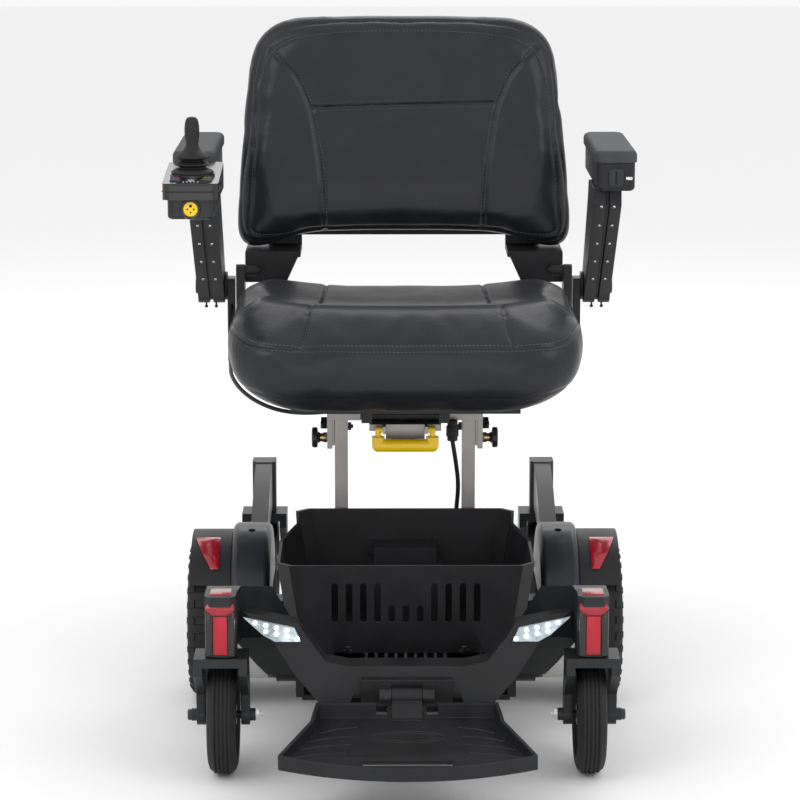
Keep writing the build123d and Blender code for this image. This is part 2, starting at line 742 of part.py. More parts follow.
def make_shroud():
    """Front shell that carries the headlights, open behind, with a floor back to the frame."""
    front = [(-322, 216), (-330, 168), (-350, 96), (-350, 84)]
    with BuildPart() as cavity:
        front_profile(shroud_outline(SHROUD_WALL), (-360, SHROUD_BACK + 2))
        moved = [(y + SHROUD_WALL, z) for y, z in front]
        closing = [(SHROUD_BACK + 2, 84), (SHROUD_BACK + 2, 216)]
        side_profile(moved + closing, (-220, 220), mode=Mode.INTERSECT)
    with BuildPart() as shroud:
        front_profile(shroud_outline(0), (-360, SHROUD_BACK))
        side_profile(front + [(SHROUD_BACK, 84), (SHROUD_BACK, 216)], (-220, 220), mode=Mode.INTERSECT)
        add(cavity.part, mode=Mode.SUBTRACT)
        floor = 98.0
        floor_z = (SHROUD_BOTTOM, SHROUD_BOTTOM + SHROUD_WALL)
        block((-floor, floor), (SHROUD_BACK - 4, RAIL_FRONT - 1), floor_z)
        for side in SIDES.values():
            cheek = sorted((side * (floor - SHROUD_WALL), side * floor))
            block(cheek, (SHROUD_BACK - 4, RAIL_FRONT - 1), (SHROUD_BOTTOM, 134))
        recess = [(-78, 84), (-58, 136), (58, 136), (78, 84)]
        front_profile(recess, (-360, -344), mode=Mode.SUBTRACT)
    save(shroud, "front_shroud")


def lens_outline():
    """The left headlight in front view."""
    return [(205, 207), (141, 194), (133, 177), (165, 177), (180, 185)]


def make_lenses():
    """Headlight lenses on the faces of the pods."""
    with BuildPart() as lens:
        front_profile(lens_outline(), (-336, -318))
        slope = [(-322.3, 216), (-330.3, 168), (-334.3, 168), (-326.3, 216)]
        side_profile(slope, (100, 220), mode=Mode.INTERSECT)
    save_pair(lens, "headlight_lenses")


# ---------------------------------------------------------------- footplate
def make_footplate_bracket():
    """Hinge block on the spine's end, with two ears and the hinge pin."""
    half = BRACKET_WIDTH / 2
    inner = KNUCKLE_WIDTH / 2 + SEAT_GAP
    outer = inner + KNUCKLE_EAR
    with BuildPart() as bracket:
        block((-half, half), (BRACKET_FRONT, -344), (100, 134))
        block((-SPINE_WIDTH / 2, SPINE_WIDTH / 2), (BRACKET_FRONT, SPINE_FRONT), (RAIL_BOTTOM, 100))
        for side in SIDES.values():
            ear = sorted((side * inner, side * outer))
            rod_x(ear, HINGE_Y, HINGE_Z, KNUCKLE_RADIUS)
            block(ear, (HINGE_Y, BRACKET_FRONT + 1), (HINGE_Z - 8, HINGE_Z + KNUCKLE_RADIUS))
        rod_x((-outer, outer), HINGE_Y, HINGE_Z, HINGE_PIN_RADIUS)
    save(bracket, "footplate_bracket")


def plate_outline(inset):
    """Plan outline of the footplate: narrow back, flared sides and a bowed front edge."""
    back = PLATE_BACK_WIDTH / 2 - inset
    front = PLATE_FRONT_WIDTH / 2 - inset
    y_back = PLATE_BACK - inset
    y_flare = PLATE_BACK - 0.30 * PLATE_LENGTH
    y_front = PLATE_BACK - 0.80 * PLATE_LENGTH
    bow = PLATE_BACK - PLATE_LENGTH + inset
    return back, front, y_back, y_flare, y_front, bow


def plate_plan(inset, z, mode=Mode.ADD):
    """Extrude the footplate's outline between two heights."""
    back, front, y_back, y_flare, y_front, bow = plate_outline(inset)
    with BuildSketch(Plane.XY.offset(z[0])) as outline:
        with BuildLine():
            Polyline(
                (-front, y_front),
                (-back - 6, y_flare),
                (-back, y_back),
                (back, y_back),
                (back + 6, y_flare),
                (front, y_front),
            )
            ThreePointArc((front, y_front), (0, bow), (-front, y_front))
        make_face()
    extrude(outline.sketch, amount=z[1] - z[0], mode=mode)


def make_footplate():
    """Moulded footplate: a dished tray with ribs, a grip slot and the centre hinge knuckle."""
    end = PLATE_BACK - PLATE_LENGTH
    with BuildPart() as dish:
        plate_plan(PLATE_WALL, (60, 130))
        side_profile(
            [(PLATE_BACK, 98), (PLATE_BACK - 40, 90), (end, 74), (end, 130), (PLATE_BACK, 130)],
            (-170, 170),
            mode=Mode.INTERSECT,
        )
    with BuildPart() as plate:
        plate_plan(0, (60, 120))
        side_profile(
            [
                (PLATE_BACK, 116),
                (PLATE_BACK - 30, 112),
                (end, 84),
                (end, 68),
                (PLATE_BACK - 40, 84),
                (PLATE_BACK, 92),
            ],
            (-170, 170),
            mode=Mode.INTERSECT,
        )
        add(dish.part, mode=Mode.SUBTRACT)
        half = PLATE_SLOT_WIDTH / 2
        block((-half, half), (-528, -514), (50, 130), mode=Mode.SUBTRACT)
        notch = KNUCKLE_WIDTH / 2 + KNUCKLE_EAR + 4
        block((-notch, notch), (PLATE_BACK - 7, PLATE_BACK + 1), (100, 130), mode=Mode.SUBTRACT)
        knuckle = KNUCKLE_WIDTH / 2
        rod_x((-knuckle, knuckle), HINGE_Y, HINGE_Z, KNUCKLE_RADIUS)
        side_profile(
            [
                (HINGE_Y, HINGE_Z + 4),
                (HINGE_Y, HINGE_Z - KNUCKLE_RADIUS),
                (-386, 96),
                (-404, 92),
                (-404, 100),
                (-386, 112),
            ],
            (-knuckle, knuckle),
        )
        rod_x((-knuckle - 1, knuckle + 1), HINGE_Y, HINGE_Z, HINGE_PIN_RADIUS + RUN, Mode.SUBTRACT)
    save(plate, "footplate")


# ---------------------------------------------------------------- seat posts, bracket and turntable
POST_IN = POST_X - POST_WIDTH / 2
POST_OUT = POST_X + POST_WIDTH / 2
U_OUT = U_WIDTH / 2
U_IN = U_OUT - U_WALL


def make_posts():
    """Two rectangular tube posts on the beam, each with an index slot open at its top."""
    with BuildPart() as post:
        tube((POST_IN, POST_OUT), (POST_FRONT, POST_BACK), (BEAM_TOP, POST_TOP), POST_WALL, "z")
        wall = (POST_OUT - POST_WALL - 1, POST_OUT + 1)
        half = INDEX_PIN_RADIUS + INDEX_CLEARANCE
        slot_z = (INDEX_Z - half, POST_TOP + 1)
        block(wall, (AXLE_Y - half, AXLE_Y + half), slot_z, mode=Mode.SUBTRACT)
    save_pair(post, "seat_posts")


def make_seat_bracket():
    """Inverted-U bracket that lifts off the posts, with guide pads, channel and latch block."""
    y = (AXLE_Y - U_DEPTH / 2, AXLE_Y + U_DEPTH / 2)
    under = U_TOP - U_PLATE
    with BuildPart() as bracket:
        block((-U_OUT, U_OUT), y, (under, U_TOP))
        for side in SIDES.values():
            leg = sorted((side * U_IN, side * U_OUT))
            block(leg, (POST_FRONT, POST_BACK), (350, under))
            pad = sorted((side * (POST_OUT + SEAT_GAP), side * U_IN))
            block(pad, (POST_FRONT + 2, AXLE_Y - 8), (354, under))
            block(pad, (AXLE_Y + 8, POST_BACK - 2), (354, under))
            bore = sorted((side * (U_IN - 4), side * (U_OUT + 1)))
            rod_x(bore, AXLE_Y, INDEX_Z, INDEX_PIN_RADIUS + RUN, Mode.SUBTRACT)
            bolt = sorted((side * U_OUT, side * (U_OUT + 8)))
            for offset in (-13, 13):
                rod_x(bolt, AXLE_Y + offset, 382, 5)
            ear = sorted((side * (HANDLE_X - 10), side * (HANDLE_X - 6)))
            block(ear, (HANDLE_Y - 5, CHANNEL_FRONT + 1), (HANDLE_PIVOT_Z - 5, U_TOP - 2))
        half = CHANNEL_WIDTH / 2
        block((-half, half), (CHANNEL_FRONT, y[0] + 1), (under - 2, U_TOP - 2))
        block((-26, 26), (CHANNEL_FRONT + 6, y[0]), (under - 14, under - 2))
        rod_z(-2, CHANNEL_FRONT + 24, (under - 19, under - 14), 16)
        rod_z(0, AXLE_Y, (under - 1, U_TOP + 1), TURNTABLE_PIN_RADIUS + RUN, Mode.SUBTRACT)
    save(bracket, "seat_bracket")


def make_plungers():
    """Spring index plungers: knob, brass body and pin, sliding out along X."""
    with BuildPart() as plunger:
        rod_x((POST_OUT - POST_WALL, U_OUT + 2), AXLE_Y, INDEX_Z, INDEX_PIN_RADIUS)
        body_end = U_OUT + SEAT_GAP + PLUNGER_BODY_WIDTH
        rod_x((U_OUT + SEAT_GAP, body_end), AXLE_Y, INDEX_Z, 7)
        rod_x((body_end, body_end + PLUNGER_KNOB_WIDTH), AXLE_Y, INDEX_Z, PLUNGER_KNOB_RADIUS)
    save_both(plunger, "plunger")


def make_handle():
    """Seat-turn release handle: a D grip hung from two rods on a pivot bar."""
    with BuildPart() as handle:
        rod_x((-HANDLE_X, HANDLE_X), HANDLE_Y, HANDLE_Z, HANDLE_RADIUS)
        for side in SIDES.values():
            with Locations((side * HANDLE_X, HANDLE_Y, HANDLE_Z)):
                Sphere(HANDLE_RADIUS)
            rod_z(side * HANDLE_X, HANDLE_Y, (HANDLE_Z, HANDLE_Z + 12), HANDLE_RADIUS)
            rod_z(side * HANDLE_X, HANDLE_Y, (HANDLE_Z + 12, HANDLE_PIVOT_Z), HANDLE_ROD_RADIUS)
            knuckle = sorted((side * (HANDLE_X - 5.7), side * (HANDLE_X + 4)))
            rod_x(knuckle, HANDLE_Y, HANDLE_PIVOT_Z, HANDLE_ROD_RADIUS)
    save(handle, "release_handle")


TABLE_LOW = U_TOP + SEAT_GAP
TABLE_HIGH = TABLE_LOW + TURNTABLE_THICKNESS


def make_turntable():
    """Swivel plate on the bracket, turning about a vertical pin."""
    with BuildPart() as table:
        rod_z(0, AXLE_Y, (TABLE_LOW, TABLE_HIGH), TURNTABLE_RADIUS)
        block((-60, 60), (-30, AXLE_Y), (TABLE_LOW, TABLE_HIGH))
        rod_z(0, AXLE_Y, (U_TOP - U_PLATE + 1, TABLE_LOW), TURNTABLE_PIN_RADIUS)
    save(table, "swivel_plate")


# ---------------------------------------------------------------- seat
def make_seat_pan():
    """Seat frame: two runners, a pan, rear uprights and the cross tube that takes the armrests."""
    half = PAN_WIDTH / 2
    pan_low = SEAT_BOTTOM - SEAT_GAP - PAN_THICKNESS
    bore = SLIDER_SIZE / 2 + SEAT_GAP
    skin = bore + RECEIVER_WALL
    with BuildPart() as pan:
        block((-half, half), (PAN_FRONT, SEAT_BACK), (pan_low, pan_low + PAN_THICKNESS))
        for side in SIDES.values():
            runner = sorted((side * 44, side * 58))
            block(runner, (-90, 150), (TABLE_HIGH, pan_low))
            link = sorted((side * (half - 60), side * (UPRIGHT_X + UPRIGHT_WIDTH)))
            block(link, (SEAT_BACK, PAN_BACK), (pan_low, pan_low + PAN_THICKNESS))
            link_in = sorted((side * (half - 60), side * half))
            block(link_in, (SEAT_BACK - 20, SEAT_BACK + 1), (pan_low, pan_low + PAN_THICKNESS))
            upright = sorted((side * UPRIGHT_X, side * (UPRIGHT_X + UPRIGHT_WIDTH)))
            block(upright, (BACK_FOLD_Y - 9, PAN_BACK), (pan_low, BACK_FOLD_Z))
            rod_x(upright, BACK_FOLD_Y, BACK_FOLD_Z, 9)
            pin = sorted((side * (UPRIGHT_X - 21), side * (UPRIGHT_X + UPRIGHT_WIDTH)))
            rod_x(pin, BACK_FOLD_Y, BACK_FOLD_Z, BACK_PIN_RADIUS)
        ends = UPRIGHT_X + UPRIGHT_WIDTH
        block((-ends, ends), (SLIDER_Y - skin, SLIDER_Y + skin), (SLIDER_Z - skin, SLIDER_Z + skin))
        block(
            (-ends - 1, ends + 1),
            (SLIDER_Y - bore, SLIDER_Y + bore),
            (SLIDER_Z - bore, SLIDER_Z + bore),
            mode=Mode.SUBTRACT,
        )
    save(pan, "seat_frame")


def make_seat_cushion():
    """Upholstered seat, a plain closed solid of its outer size with raised side bolsters."""
    half = SEAT_WIDTH / 2
    with BuildPart() as cushion:
        side_profile(
            [
                (SEAT_FRONT + 22, SEAT_BOTTOM),
                (SEAT_FRONT + 3, SEAT_BOTTOM + 30),
                (SEAT_FRONT, SEAT_BOTTOM + 62),
                (SEAT_FRONT + 10, SEAT_TOP - 18),
                (SEAT_FRONT + 38, SEAT_TOP + 3),
                (SEAT_FRONT + 74, SEAT_TOP + 8),
                (-40, SEAT_TOP - 4),
                (SEAT_BACK - 30, SEAT_TOP - 8),
                (SEAT_BACK, SEAT_TOP - 30),
                (SEAT_BACK, SEAT_BOTTOM),
            ],
            (-half, half),
        )
        for side in SIDES.values():
            bolster = sorted((side * (half - BOLSTER_WIDTH), side * half))
            block(bolster, (20, SEAT_BACK - 22), (SEAT_TOP - 20, BOLSTER_TOP))
        section = [
            (0, SEAT_BOTTOM),
            (half - 84, SEAT_BOTTOM),
            (half - 42, SEAT_BOTTOM + 6),
            (half - 12, SEAT_BOTTOM + 26),
            (half, SEAT_BOTTOM + 56),
            (half, SEAT_TOP - 16),
            (half - 10, SEAT_TOP + 6),
            (half - 34, BOLSTER_TOP + 1),
            (0, BOLSTER_TOP + 1),
        ]
        front_profile(
            section + [(-x, z) for x, z in reversed(section) if x > 0],
            (SEAT_FRONT - 1, SEAT_BACK + 1),
            mode=Mode.INTERSECT,
        )
    save(cushion, "seat_cushion")


# ---------------------------------------------------------------- backrest
RECLINE = radians(BACK_RECLINE)
BACK_PLANE = Plane(
    origin=(0, BACK_Y, BACK_Z),
    x_dir=(1, 0, 0),
    z_dir=(0, -cos(RECLINE), sin(RECLINE)),
)


def back_slab(plane, inset, thickness):
    """Extrude the backrest's outline, with flared lower corners and large upper radii, rearwards."""
    low = BACK_LOW_WIDTH / 2 - inset
    middle = BACK_MIDDLE_WIDTH / 2 - inset
    top = BACK_TOP_WIDTH / 2 - inset
    height = BACK_HEIGHT - inset
    with BuildSketch(plane) as outline:
        with BuildLine():
            FilletPolyline(
                (0, inset),
                (low - 34, inset),
                (low, 26 + inset),
                (middle + 4, 96),
                (middle - 6, height - 100),
                (top + 52, height - 41),
                (top, height - 8),
                (0, height),
                radius=[20, 12, 60, 60, 50, 70],
            )
            Line((0, height), (0, inset))
        make_face()
        mirror(about=Plane.YZ)
    extrude(outline.sketch, amount=-thickness)


def make_backrest():
    """Backrest cushion, and the shell behind it with its two ears down to the fold pins."""
    with BuildPart() as cushion:
        back_slab(BACK_PLANE, 0, BACK_THICKNESS)
        fillet(cushion.faces().sort_by(Axis.Y)[0].edges(), 12)
    save(cushion, "backrest_cushion")
    rear = BACK_PLANE.offset(-BACK_THICKNESS - SEAT_GAP)
    lug_out = UPRIGHT_X - SEAT_GAP
    lug_in = lug_out - 18
    strap_y = (302, 310)
    with BuildPart() as shell:
        back_slab(rear, 14, BACK_SHELL)
        for side in SIDES.values():
            ear_low = side * (lug_out - EAR_LOW_WIDTH)
            ear_top = side * (lug_out - EAR_TOP_WIDTH)
            outer = side * lug_out
            y_ear = BACK_FOLD_Y + 9
            front_profile(
                [(outer, EAR_BOTTOM), (ear_low, EAR_BOTTOM), (ear_top, EAR_TOP), (outer, EAR_TOP)],
                (y_ear, y_ear + EAR_THICKNESS),
            )
            block(sorted((outer, ear_top)), (y_ear, strap_y[1]), (EAR_TOP - EAR_THICKNESS, EAR_TOP))
            block(sorted((outer - side * 30, ear_top)), strap_y, (EAR_TOP - EAR_THICKNESS, 640))
            lug = sorted((side * lug_in, outer))
            rod_x(lug, BACK_FOLD_Y, BACK_FOLD_Z, BACK_LUG_RADIUS)
            lug_z = (BACK_FOLD_Z - BACK_LUG_RADIUS, BACK_FOLD_Z + BACK_LUG_RADIUS)
            block(lug, (BACK_FOLD_Y, y_ear + 1), lug_z)
            bore = sorted((side * (lug_in - 1), side * (lug_out + 1)))
            rod_x(bore, BACK_FOLD_Y, BACK_FOLD_Z, BACK_PIN_RADIUS + RUN, Mode.SUBTRACT)
    save(shell, "backrest_shell")


# ---------------------------------------------------------------- armrests
ARM_OUT = ARM_HUB_X + ARM_WIDTH


def make_sliders():
    """L-shaped slides: a square tube in the seat's cross tube, an upright and the arm pivot pin."""
    half = SLIDER_SIZE / 2
    with BuildPart() as slider:
        block(
            (SLIDER_INNER, BRACE_X + 1),
            (SLIDER_Y - half, SLIDER_Y + half),
            (SLIDER_Z - half, SLIDER_Z + half),
        )
        block(
            (SLIDER_INNER - 1, BRACE_X - 2),
            (SLIDER_Y - half + 2, SLIDER_Y + half - 2),
            (SLIDER_Z - half + 2, SLIDER_Z + half - 2),
            mode=Mode.SUBTRACT,
        )
        block(
            (BRACE_X, ARM_HUB_X - 4),
            (SLIDER_Y - half - 3, SLIDER_Y + half + 3),
            (SLIDER_Z - half, HUB_Z + 12),
        )
        rod_x((ARM_HUB_X - 4, ARM_HUB_X - SEAT_GAP), SLIDER_Y, HUB_Z, 20)
        rod_x((ARM_HUB_X - 1, ARM_OUT + 2), SLIDER_Y, HUB_Z, ARM_PIN_RADIUS)
        rod_x((ARM_OUT + SEAT_GAP, ARM_OUT + 4), SLIDER_Y, HUB_Z, 11)
    save_both(slider, "arm_slider")


def arm_blade(x, trim):
    """A blade from the arm's hub up to the underside of the pad, between two X values."""
    hub = ARM_HUB_RADIUS - trim
    top = PAD_BASE_BOTTOM
    rod_x(x, SLIDER_Y, HUB_Z, hub)
    side_profile(
        [
            (SLIDER_Y - 0.80 * hub, HUB_Z - 0.60 * hub),
            (SLIDER_Y + 0.85 * hub, HUB_Z + 0.52 * hub),
            (150 - trim, top - 26),
            (136 - trim, top),
            (26 + trim, top),
            (22 + trim, top - 22),
        ],
        x,
    )


def make_arms():
    """Armrest posts: an inner and an outer shell on a core plate, all on the pivot pin."""
    split = (ARM_WIDTH - ARM_CORE) / 2
    with BuildPart() as shells:
        arm_blade((ARM_HUB_X, ARM_HUB_X + split), 0)
        arm_blade((ARM_HUB_X + split + RUN, ARM_HUB_X + split + ARM_CORE - RUN), 4)
        arm_blade((ARM_HUB_X + split + ARM_CORE, ARM_OUT), 0)
        rod_x((ARM_HUB_X - 1, ARM_OUT + 1), SLIDER_Y, HUB_Z, ARM_PIN_RADIUS + RUN, Mode.SUBTRACT)
    save_both(shells, "arm_post")
    half = PAD_WIDTH / 2
    with BuildPart() as base:
        block(
            (PAD_X - half + 3, PAD_X + half - 3),
            (PAD_FRONT + 2, PAD_FRONT + PAD_LENGTH - 4),
            (PAD_BASE_BOTTOM, PAD_BOTTOM),
        )
        fillet(base.edges().filter_by(Axis.Z), 9)
        fillet(base.faces().sort_by(Axis.Z)[0].edges(), 6)
    save_both(base, "pad_base")
    with BuildPart() as pad:
        block((PAD_X - half, PAD_X + half), (PAD_FRONT, PAD_FRONT + PAD_LENGTH), (PAD_BOTTOM, PAD_TOP))
        fillet(pad.edges().filter_by(Axis.Z), 16)
        fillet(pad.faces().sort_by(Axis.Z)[-1].edges(), 7)
    save_both(pad, "arm_pad")


# ---------------------------------------------------------------- joystick controller
def case_top(y):
    """Height of the sloping deck of the controller at one Y."""
    share = (y - CASE_FRONT) / (CASE_BACK - CASE_FRONT)
    return CASE_TOP_FRONT + share * (CASE_TOP_BACK - CASE_TOP_FRONT)


BOOT_BASE = case_top(STICK_Y + BOOT_RADIUS)


def button_places():
    """Centres of the four buttons, two on each side of the case."""
    for name, step in {"horn": (-1, 0), "speed": (-1, 1), "power": (1, 0), "lights": (1, 1)}.items():
        yield name, CASE_X + step[0] * BUTTON_X, BUTTON_Y + step[1] * BUTTON_PITCH_Y


def make_controller():
    """Upper case with a sloping deck, lower housing with mounting arm, and charger socket."""
    half = CASE_WIDTH / 2
    low_half = HOUSING_WIDTH / 2
    with BuildPart() as case:
        side_profile(
            [
                (CASE_FRONT, CASE_BOTTOM),
                (CASE_FRONT, CASE_TOP_FRONT - 3),
                (CASE_FRONT + 3, CASE_TOP_FRONT),
                (CASE_BACK, CASE_TOP_BACK),
                (CASE_BACK, CASE_BOTTOM),
            ],
            (CASE_X - half, CASE_X + half),
        )
        fillet(case.edges().filter_by(Axis.Z), 9)
        rod_z(CASE_X, STICK_Y, (CASE_BOTTOM + 4, BOOT_BASE), BOOT_RADIUS + 2)
        rod_z(CASE_X, STICK_Y, (STICK_PIVOT_Z - 12, 760), 17, Mode.SUBTRACT)
        for _, x, y in button_places():
            gap = 0.25
            pocket_x = (x - BUTTON_WIDTH / 2 - gap, x + BUTTON_WIDTH / 2 + gap)
            pocket_y = (y - BUTTON_LENGTH / 2 - gap, y + BUTTON_LENGTH / 2 + gap)
            block(pocket_x, pocket_y, (case_top(y) - 6, 770), mode=Mode.SUBTRACT)
    save(case, "controller_case")
    with BuildPart() as housing:
        block(
            (CASE_X - low_half, CASE_X + low_half),
            (CASE_FRONT + 7, CASE_BACK - 10),
            (HOUSING_BOTTOM, CASE_BOTTOM),
        )
        fillet(housing.edges().filter_by(Axis.Z), 8)
        fillet(housing.faces().sort_by(Axis.Z)[0].edges(), 5)
        rod_y(-PAD_X, (CASE_BACK - 30, PAD_FRONT + 2), PAD_BASE_BOTTOM + 2 - 6, 7)
        link_z = (HOUSING_BOTTOM + 3, PAD_BASE_BOTTOM + 30)
        block((-PAD_X - 9, -PAD_X + 9), (PAD_FRONT - 6, PAD_FRONT + 2), link_z)
    save(housing, "controller_housing")
    with BuildPart() as socket:
        face = CASE_FRONT + 7
        rod_y(CASE_X, (face - 3, face), SOCKET_Z, SOCKET_RADIUS)
        rod_y(CASE_X, (face - 4, face - 1.5), SOCKET_Z, 7.7, Mode.SUBTRACT)
        rod_y(CASE_X, (face - 2.5, face - 1), SOCKET_Z, 7.7)
        for side_x, side_z in ((0, 4), (0, -4), (4, 0), (-4, 0)):
            rod_y(CASE_X + side_x, (face - 3, face - 1.5), SOCKET_Z + side_z, 1.3, Mode.SUBTRACT)
    save(socket, "charge_socket")
    for name, x, y in button_places():
        top = case_top(y) + BUTTON_PROUD
        with BuildPart() as button:
            block(
                (x - BUTTON_WIDTH / 2, x + BUTTON_WIDTH / 2),
                (y - BUTTON_LENGTH / 2, y + BUTTON_LENGTH / 2),
                (case_top(y) - 6 + BUTTON_TRAVEL + 0.2, top),
            )
            fillet(button.edges().filter_by(Axis.Z), 2)
            fillet(button.faces().sort_by(Axis.Z)[-1].edges(), 0.8)
        save(button, f"button_{name}")


def make_joystick():
    """Gimbal ring, stick with its knob, and the pleated rubber boot."""
    with BuildPart() as gimbal:
        rod_z(CASE_X, STICK_Y, (STICK_PIVOT_Z - 4, STICK_PIVOT_Z + 4), 13)
        rod_z(CASE_X, STICK_Y, (STICK_PIVOT_Z - 5, STICK_PIVOT_Z + 5), 9.5, Mode.SUBTRACT)
        rod_y(CASE_X, (STICK_Y - 16.8, STICK_Y - 12), STICK_PIVOT_Z, 2)
        rod_y(CASE_X, (STICK_Y + 12, STICK_Y + 16.8), STICK_PIVOT_Z, 2)
    save(gimbal, "joystick_gimbal")
    with BuildPart() as knob:
        rod_z(CASE_X, STICK_Y, (STICK_PIVOT_Z - 5, KNOB_BOTTOM + 2), STICK_RADIUS)
        rod_x((CASE_X - 9.2, CASE_X + 9.2), STICK_Y, STICK_PIVOT_Z, 1.8)
        rod_z(CASE_X, STICK_Y, (KNOB_BOTTOM, KNOB_BOTTOM + KNOB_HEIGHT), KNOB_RADIUS)
        fillet(knob.faces().sort_by(Axis.Z)[-1].edges(), 6)
    save(knob, "joystick_knob")
    base = BOOT_BASE
    with BuildPart() as boot:
        with BuildSketch(Plane.XZ.offset(-STICK_Y)):
            with BuildLine():
                Polyline(
                    (CASE_X + BOOT_RADIUS, base),
                    (CASE_X + BOOT_RADIUS, base + 4),
                    (CASE_X + 20, base + 9),
                    (CASE_X + 23, base + 13),
                    (CASE_X + 15, base + 17),
                    (CASE_X + 21, base + 21),
                    (CASE_X + 12, base + 25),
                    (CASE_X + 13, BOOT_TOP),
                    (CASE_X + STICK_RADIUS + 0.3, BOOT_TOP + 2),
                    (CASE_X + STICK_RADIUS + 0.3, BOOT_TOP - 2),
                    (CASE_X + 9, base + 22),
                    (CASE_X + 17.5, base + 6),
                    (CASE_X + 17.5, base),
                    close=True,
                )
            make_face()
        revolve(axis=Axis((CASE_X, STICK_Y, 0), (0, 0, 1)))
    save(boot, "joystick_boot")


# ---------------------------------------------------------------- leads
def lead(points, radius, name):
    """A clipped lead: straight runs joined by tangent arcs as large as the runs allow."""
    runs = [(Vector(b) - Vector(a)).length for a, b in zip(points, points[1:])]
    arcs = []
    for index in range(1, len(points) - 1):
        before = Vector(points[index]) - Vector(points[index - 1])
        after = Vector(points[index + 1]) - Vector(points[index])
        turn = radians(before.get_angle(after))
        arcs.append(0.45 * min(runs[index - 1], runs[index]) * cos(turn / 2) / sin(turn / 2))
    with BuildPart() as cable:
        with BuildLine() as route:
            FilletPolyline(*points, radius=arcs)
        start = Plane(origin=points[0], z_dir=route.line % 0)
        with BuildSketch(start):
            Circle(radius)
        sweep(path=route.line)
    print(name, "runs", [round(run) for run in runs], "arc radii", [round(arc) for arc in arcs])
    length = route.wire().length
    share = cable.part.volume / (pi * radius**2 * length)
    print(name, "length", round(length), "volume share", round(share, 4))
    return cable


def make_leads():
    """Cable from the seat's plug down between the posts, and the controller's lead to the seat frame."""
    x, y, z = CONNECTOR
    route = [
        CONNECTOR,
        (69, 5, 335),
        (73, 16, 300),
        (70, 27, 262),
        (67, 33, 222),
        (68, 37, 178),
        (70, 38, BEAM_TOP),
    ]
    cable = lead(route, CABLE_RADIUS, "seat_cable")
    save(cable, "seat_cable")
    with BuildPart() as plug:
        rod_z(x, y, (z, z + 28), 7)
        rod_z(x, y, (z + 6, z + 20), 8.5)
    save(plug, "cable_plug")
    route = [
        (-243.7, SLIDER_Y - SLIDER_SIZE / 2 - LEAD_SETBACK, 514),
        (-245, 196, 500),
        (-244, 174, 482),
        (-242, 146, 466),
        (-240, 111, 455),
        (-238, 75, 450),
        (-236, 35, 453),
        (-231, -5, 451),
        (-219, -42, 443),
        (-198, -70, 433),
        (-170, -84, 424),
        (-138, -72, 417),
        (-98, -50, 415),
        (-58, -38, 417),
    ]
    tail = lead(route, LEAD_RADIUS, "controller_lead")
    save(tail, "controller_lead")


for make in (
    make_frame,
    make_batteries,
    make_power_module,
    make_battery_lid,
    make_motors,
    make_gearboxes,
    make_motor_covers,
    make_fenders,
    make_drive_wheels,
    make_front_arms,
    make_rear_arms,
    make_tub,
    make_shroud,
    make_lenses,
    make_footplate_bracket,
    make_footplate,
    make_posts,
    make_seat_bracket,
    make_plungers,
    make_handle,
    make_turntable,
    make_seat_pan,
    make_seat_cushion,
    make_backrest,
    make_sliders,
    make_arms,
    make_controller,
    make_joystick,
    make_leads,
):
    make()
make_caster("front", FRONT_CASTER_X, FRONT_SWIVEL_Y)
make_caster("rear", REAR_CASTER_X, REAR_SWIVEL_Y)
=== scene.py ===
"""Looks of a mid-wheel-drive power wheelchair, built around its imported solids."""

import json
import logging
import math
from dataclasses import dataclass
from enum import Enum

import bmesh
import bpy
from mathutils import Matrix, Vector
from mathutils.bvhtree import BVHTree
from mathutils.kdtree import KDTree

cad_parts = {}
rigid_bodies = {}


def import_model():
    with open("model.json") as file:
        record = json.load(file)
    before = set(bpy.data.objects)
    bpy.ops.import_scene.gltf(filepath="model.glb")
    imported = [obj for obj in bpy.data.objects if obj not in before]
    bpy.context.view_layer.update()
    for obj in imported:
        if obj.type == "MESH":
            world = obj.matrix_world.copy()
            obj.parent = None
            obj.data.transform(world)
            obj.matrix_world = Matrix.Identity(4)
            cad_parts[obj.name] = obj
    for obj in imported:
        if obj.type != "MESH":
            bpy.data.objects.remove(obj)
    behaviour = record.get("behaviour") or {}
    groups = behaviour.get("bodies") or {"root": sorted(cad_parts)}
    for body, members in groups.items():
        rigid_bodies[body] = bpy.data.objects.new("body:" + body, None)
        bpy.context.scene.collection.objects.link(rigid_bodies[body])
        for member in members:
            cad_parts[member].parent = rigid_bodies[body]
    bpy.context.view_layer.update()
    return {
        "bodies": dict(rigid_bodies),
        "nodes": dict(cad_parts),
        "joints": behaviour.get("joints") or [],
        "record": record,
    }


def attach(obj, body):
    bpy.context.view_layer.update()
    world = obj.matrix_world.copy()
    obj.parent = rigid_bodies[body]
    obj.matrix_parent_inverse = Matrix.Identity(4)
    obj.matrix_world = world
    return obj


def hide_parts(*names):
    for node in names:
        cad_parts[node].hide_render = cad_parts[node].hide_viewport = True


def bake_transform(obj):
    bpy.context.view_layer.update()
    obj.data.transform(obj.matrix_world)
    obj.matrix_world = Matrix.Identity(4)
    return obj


LOG = logging.getLogger("wheelchair")
SIDES = {"left": 1, "right": -1}
Point = tuple[float, float, float]
Flat = tuple[float, float]


class Pattern(Enum):
    """Kinds of fine surface relief."""

    GRAIN = "grain"
    CELLS = "cells"
    BRUSHED = "brushed"


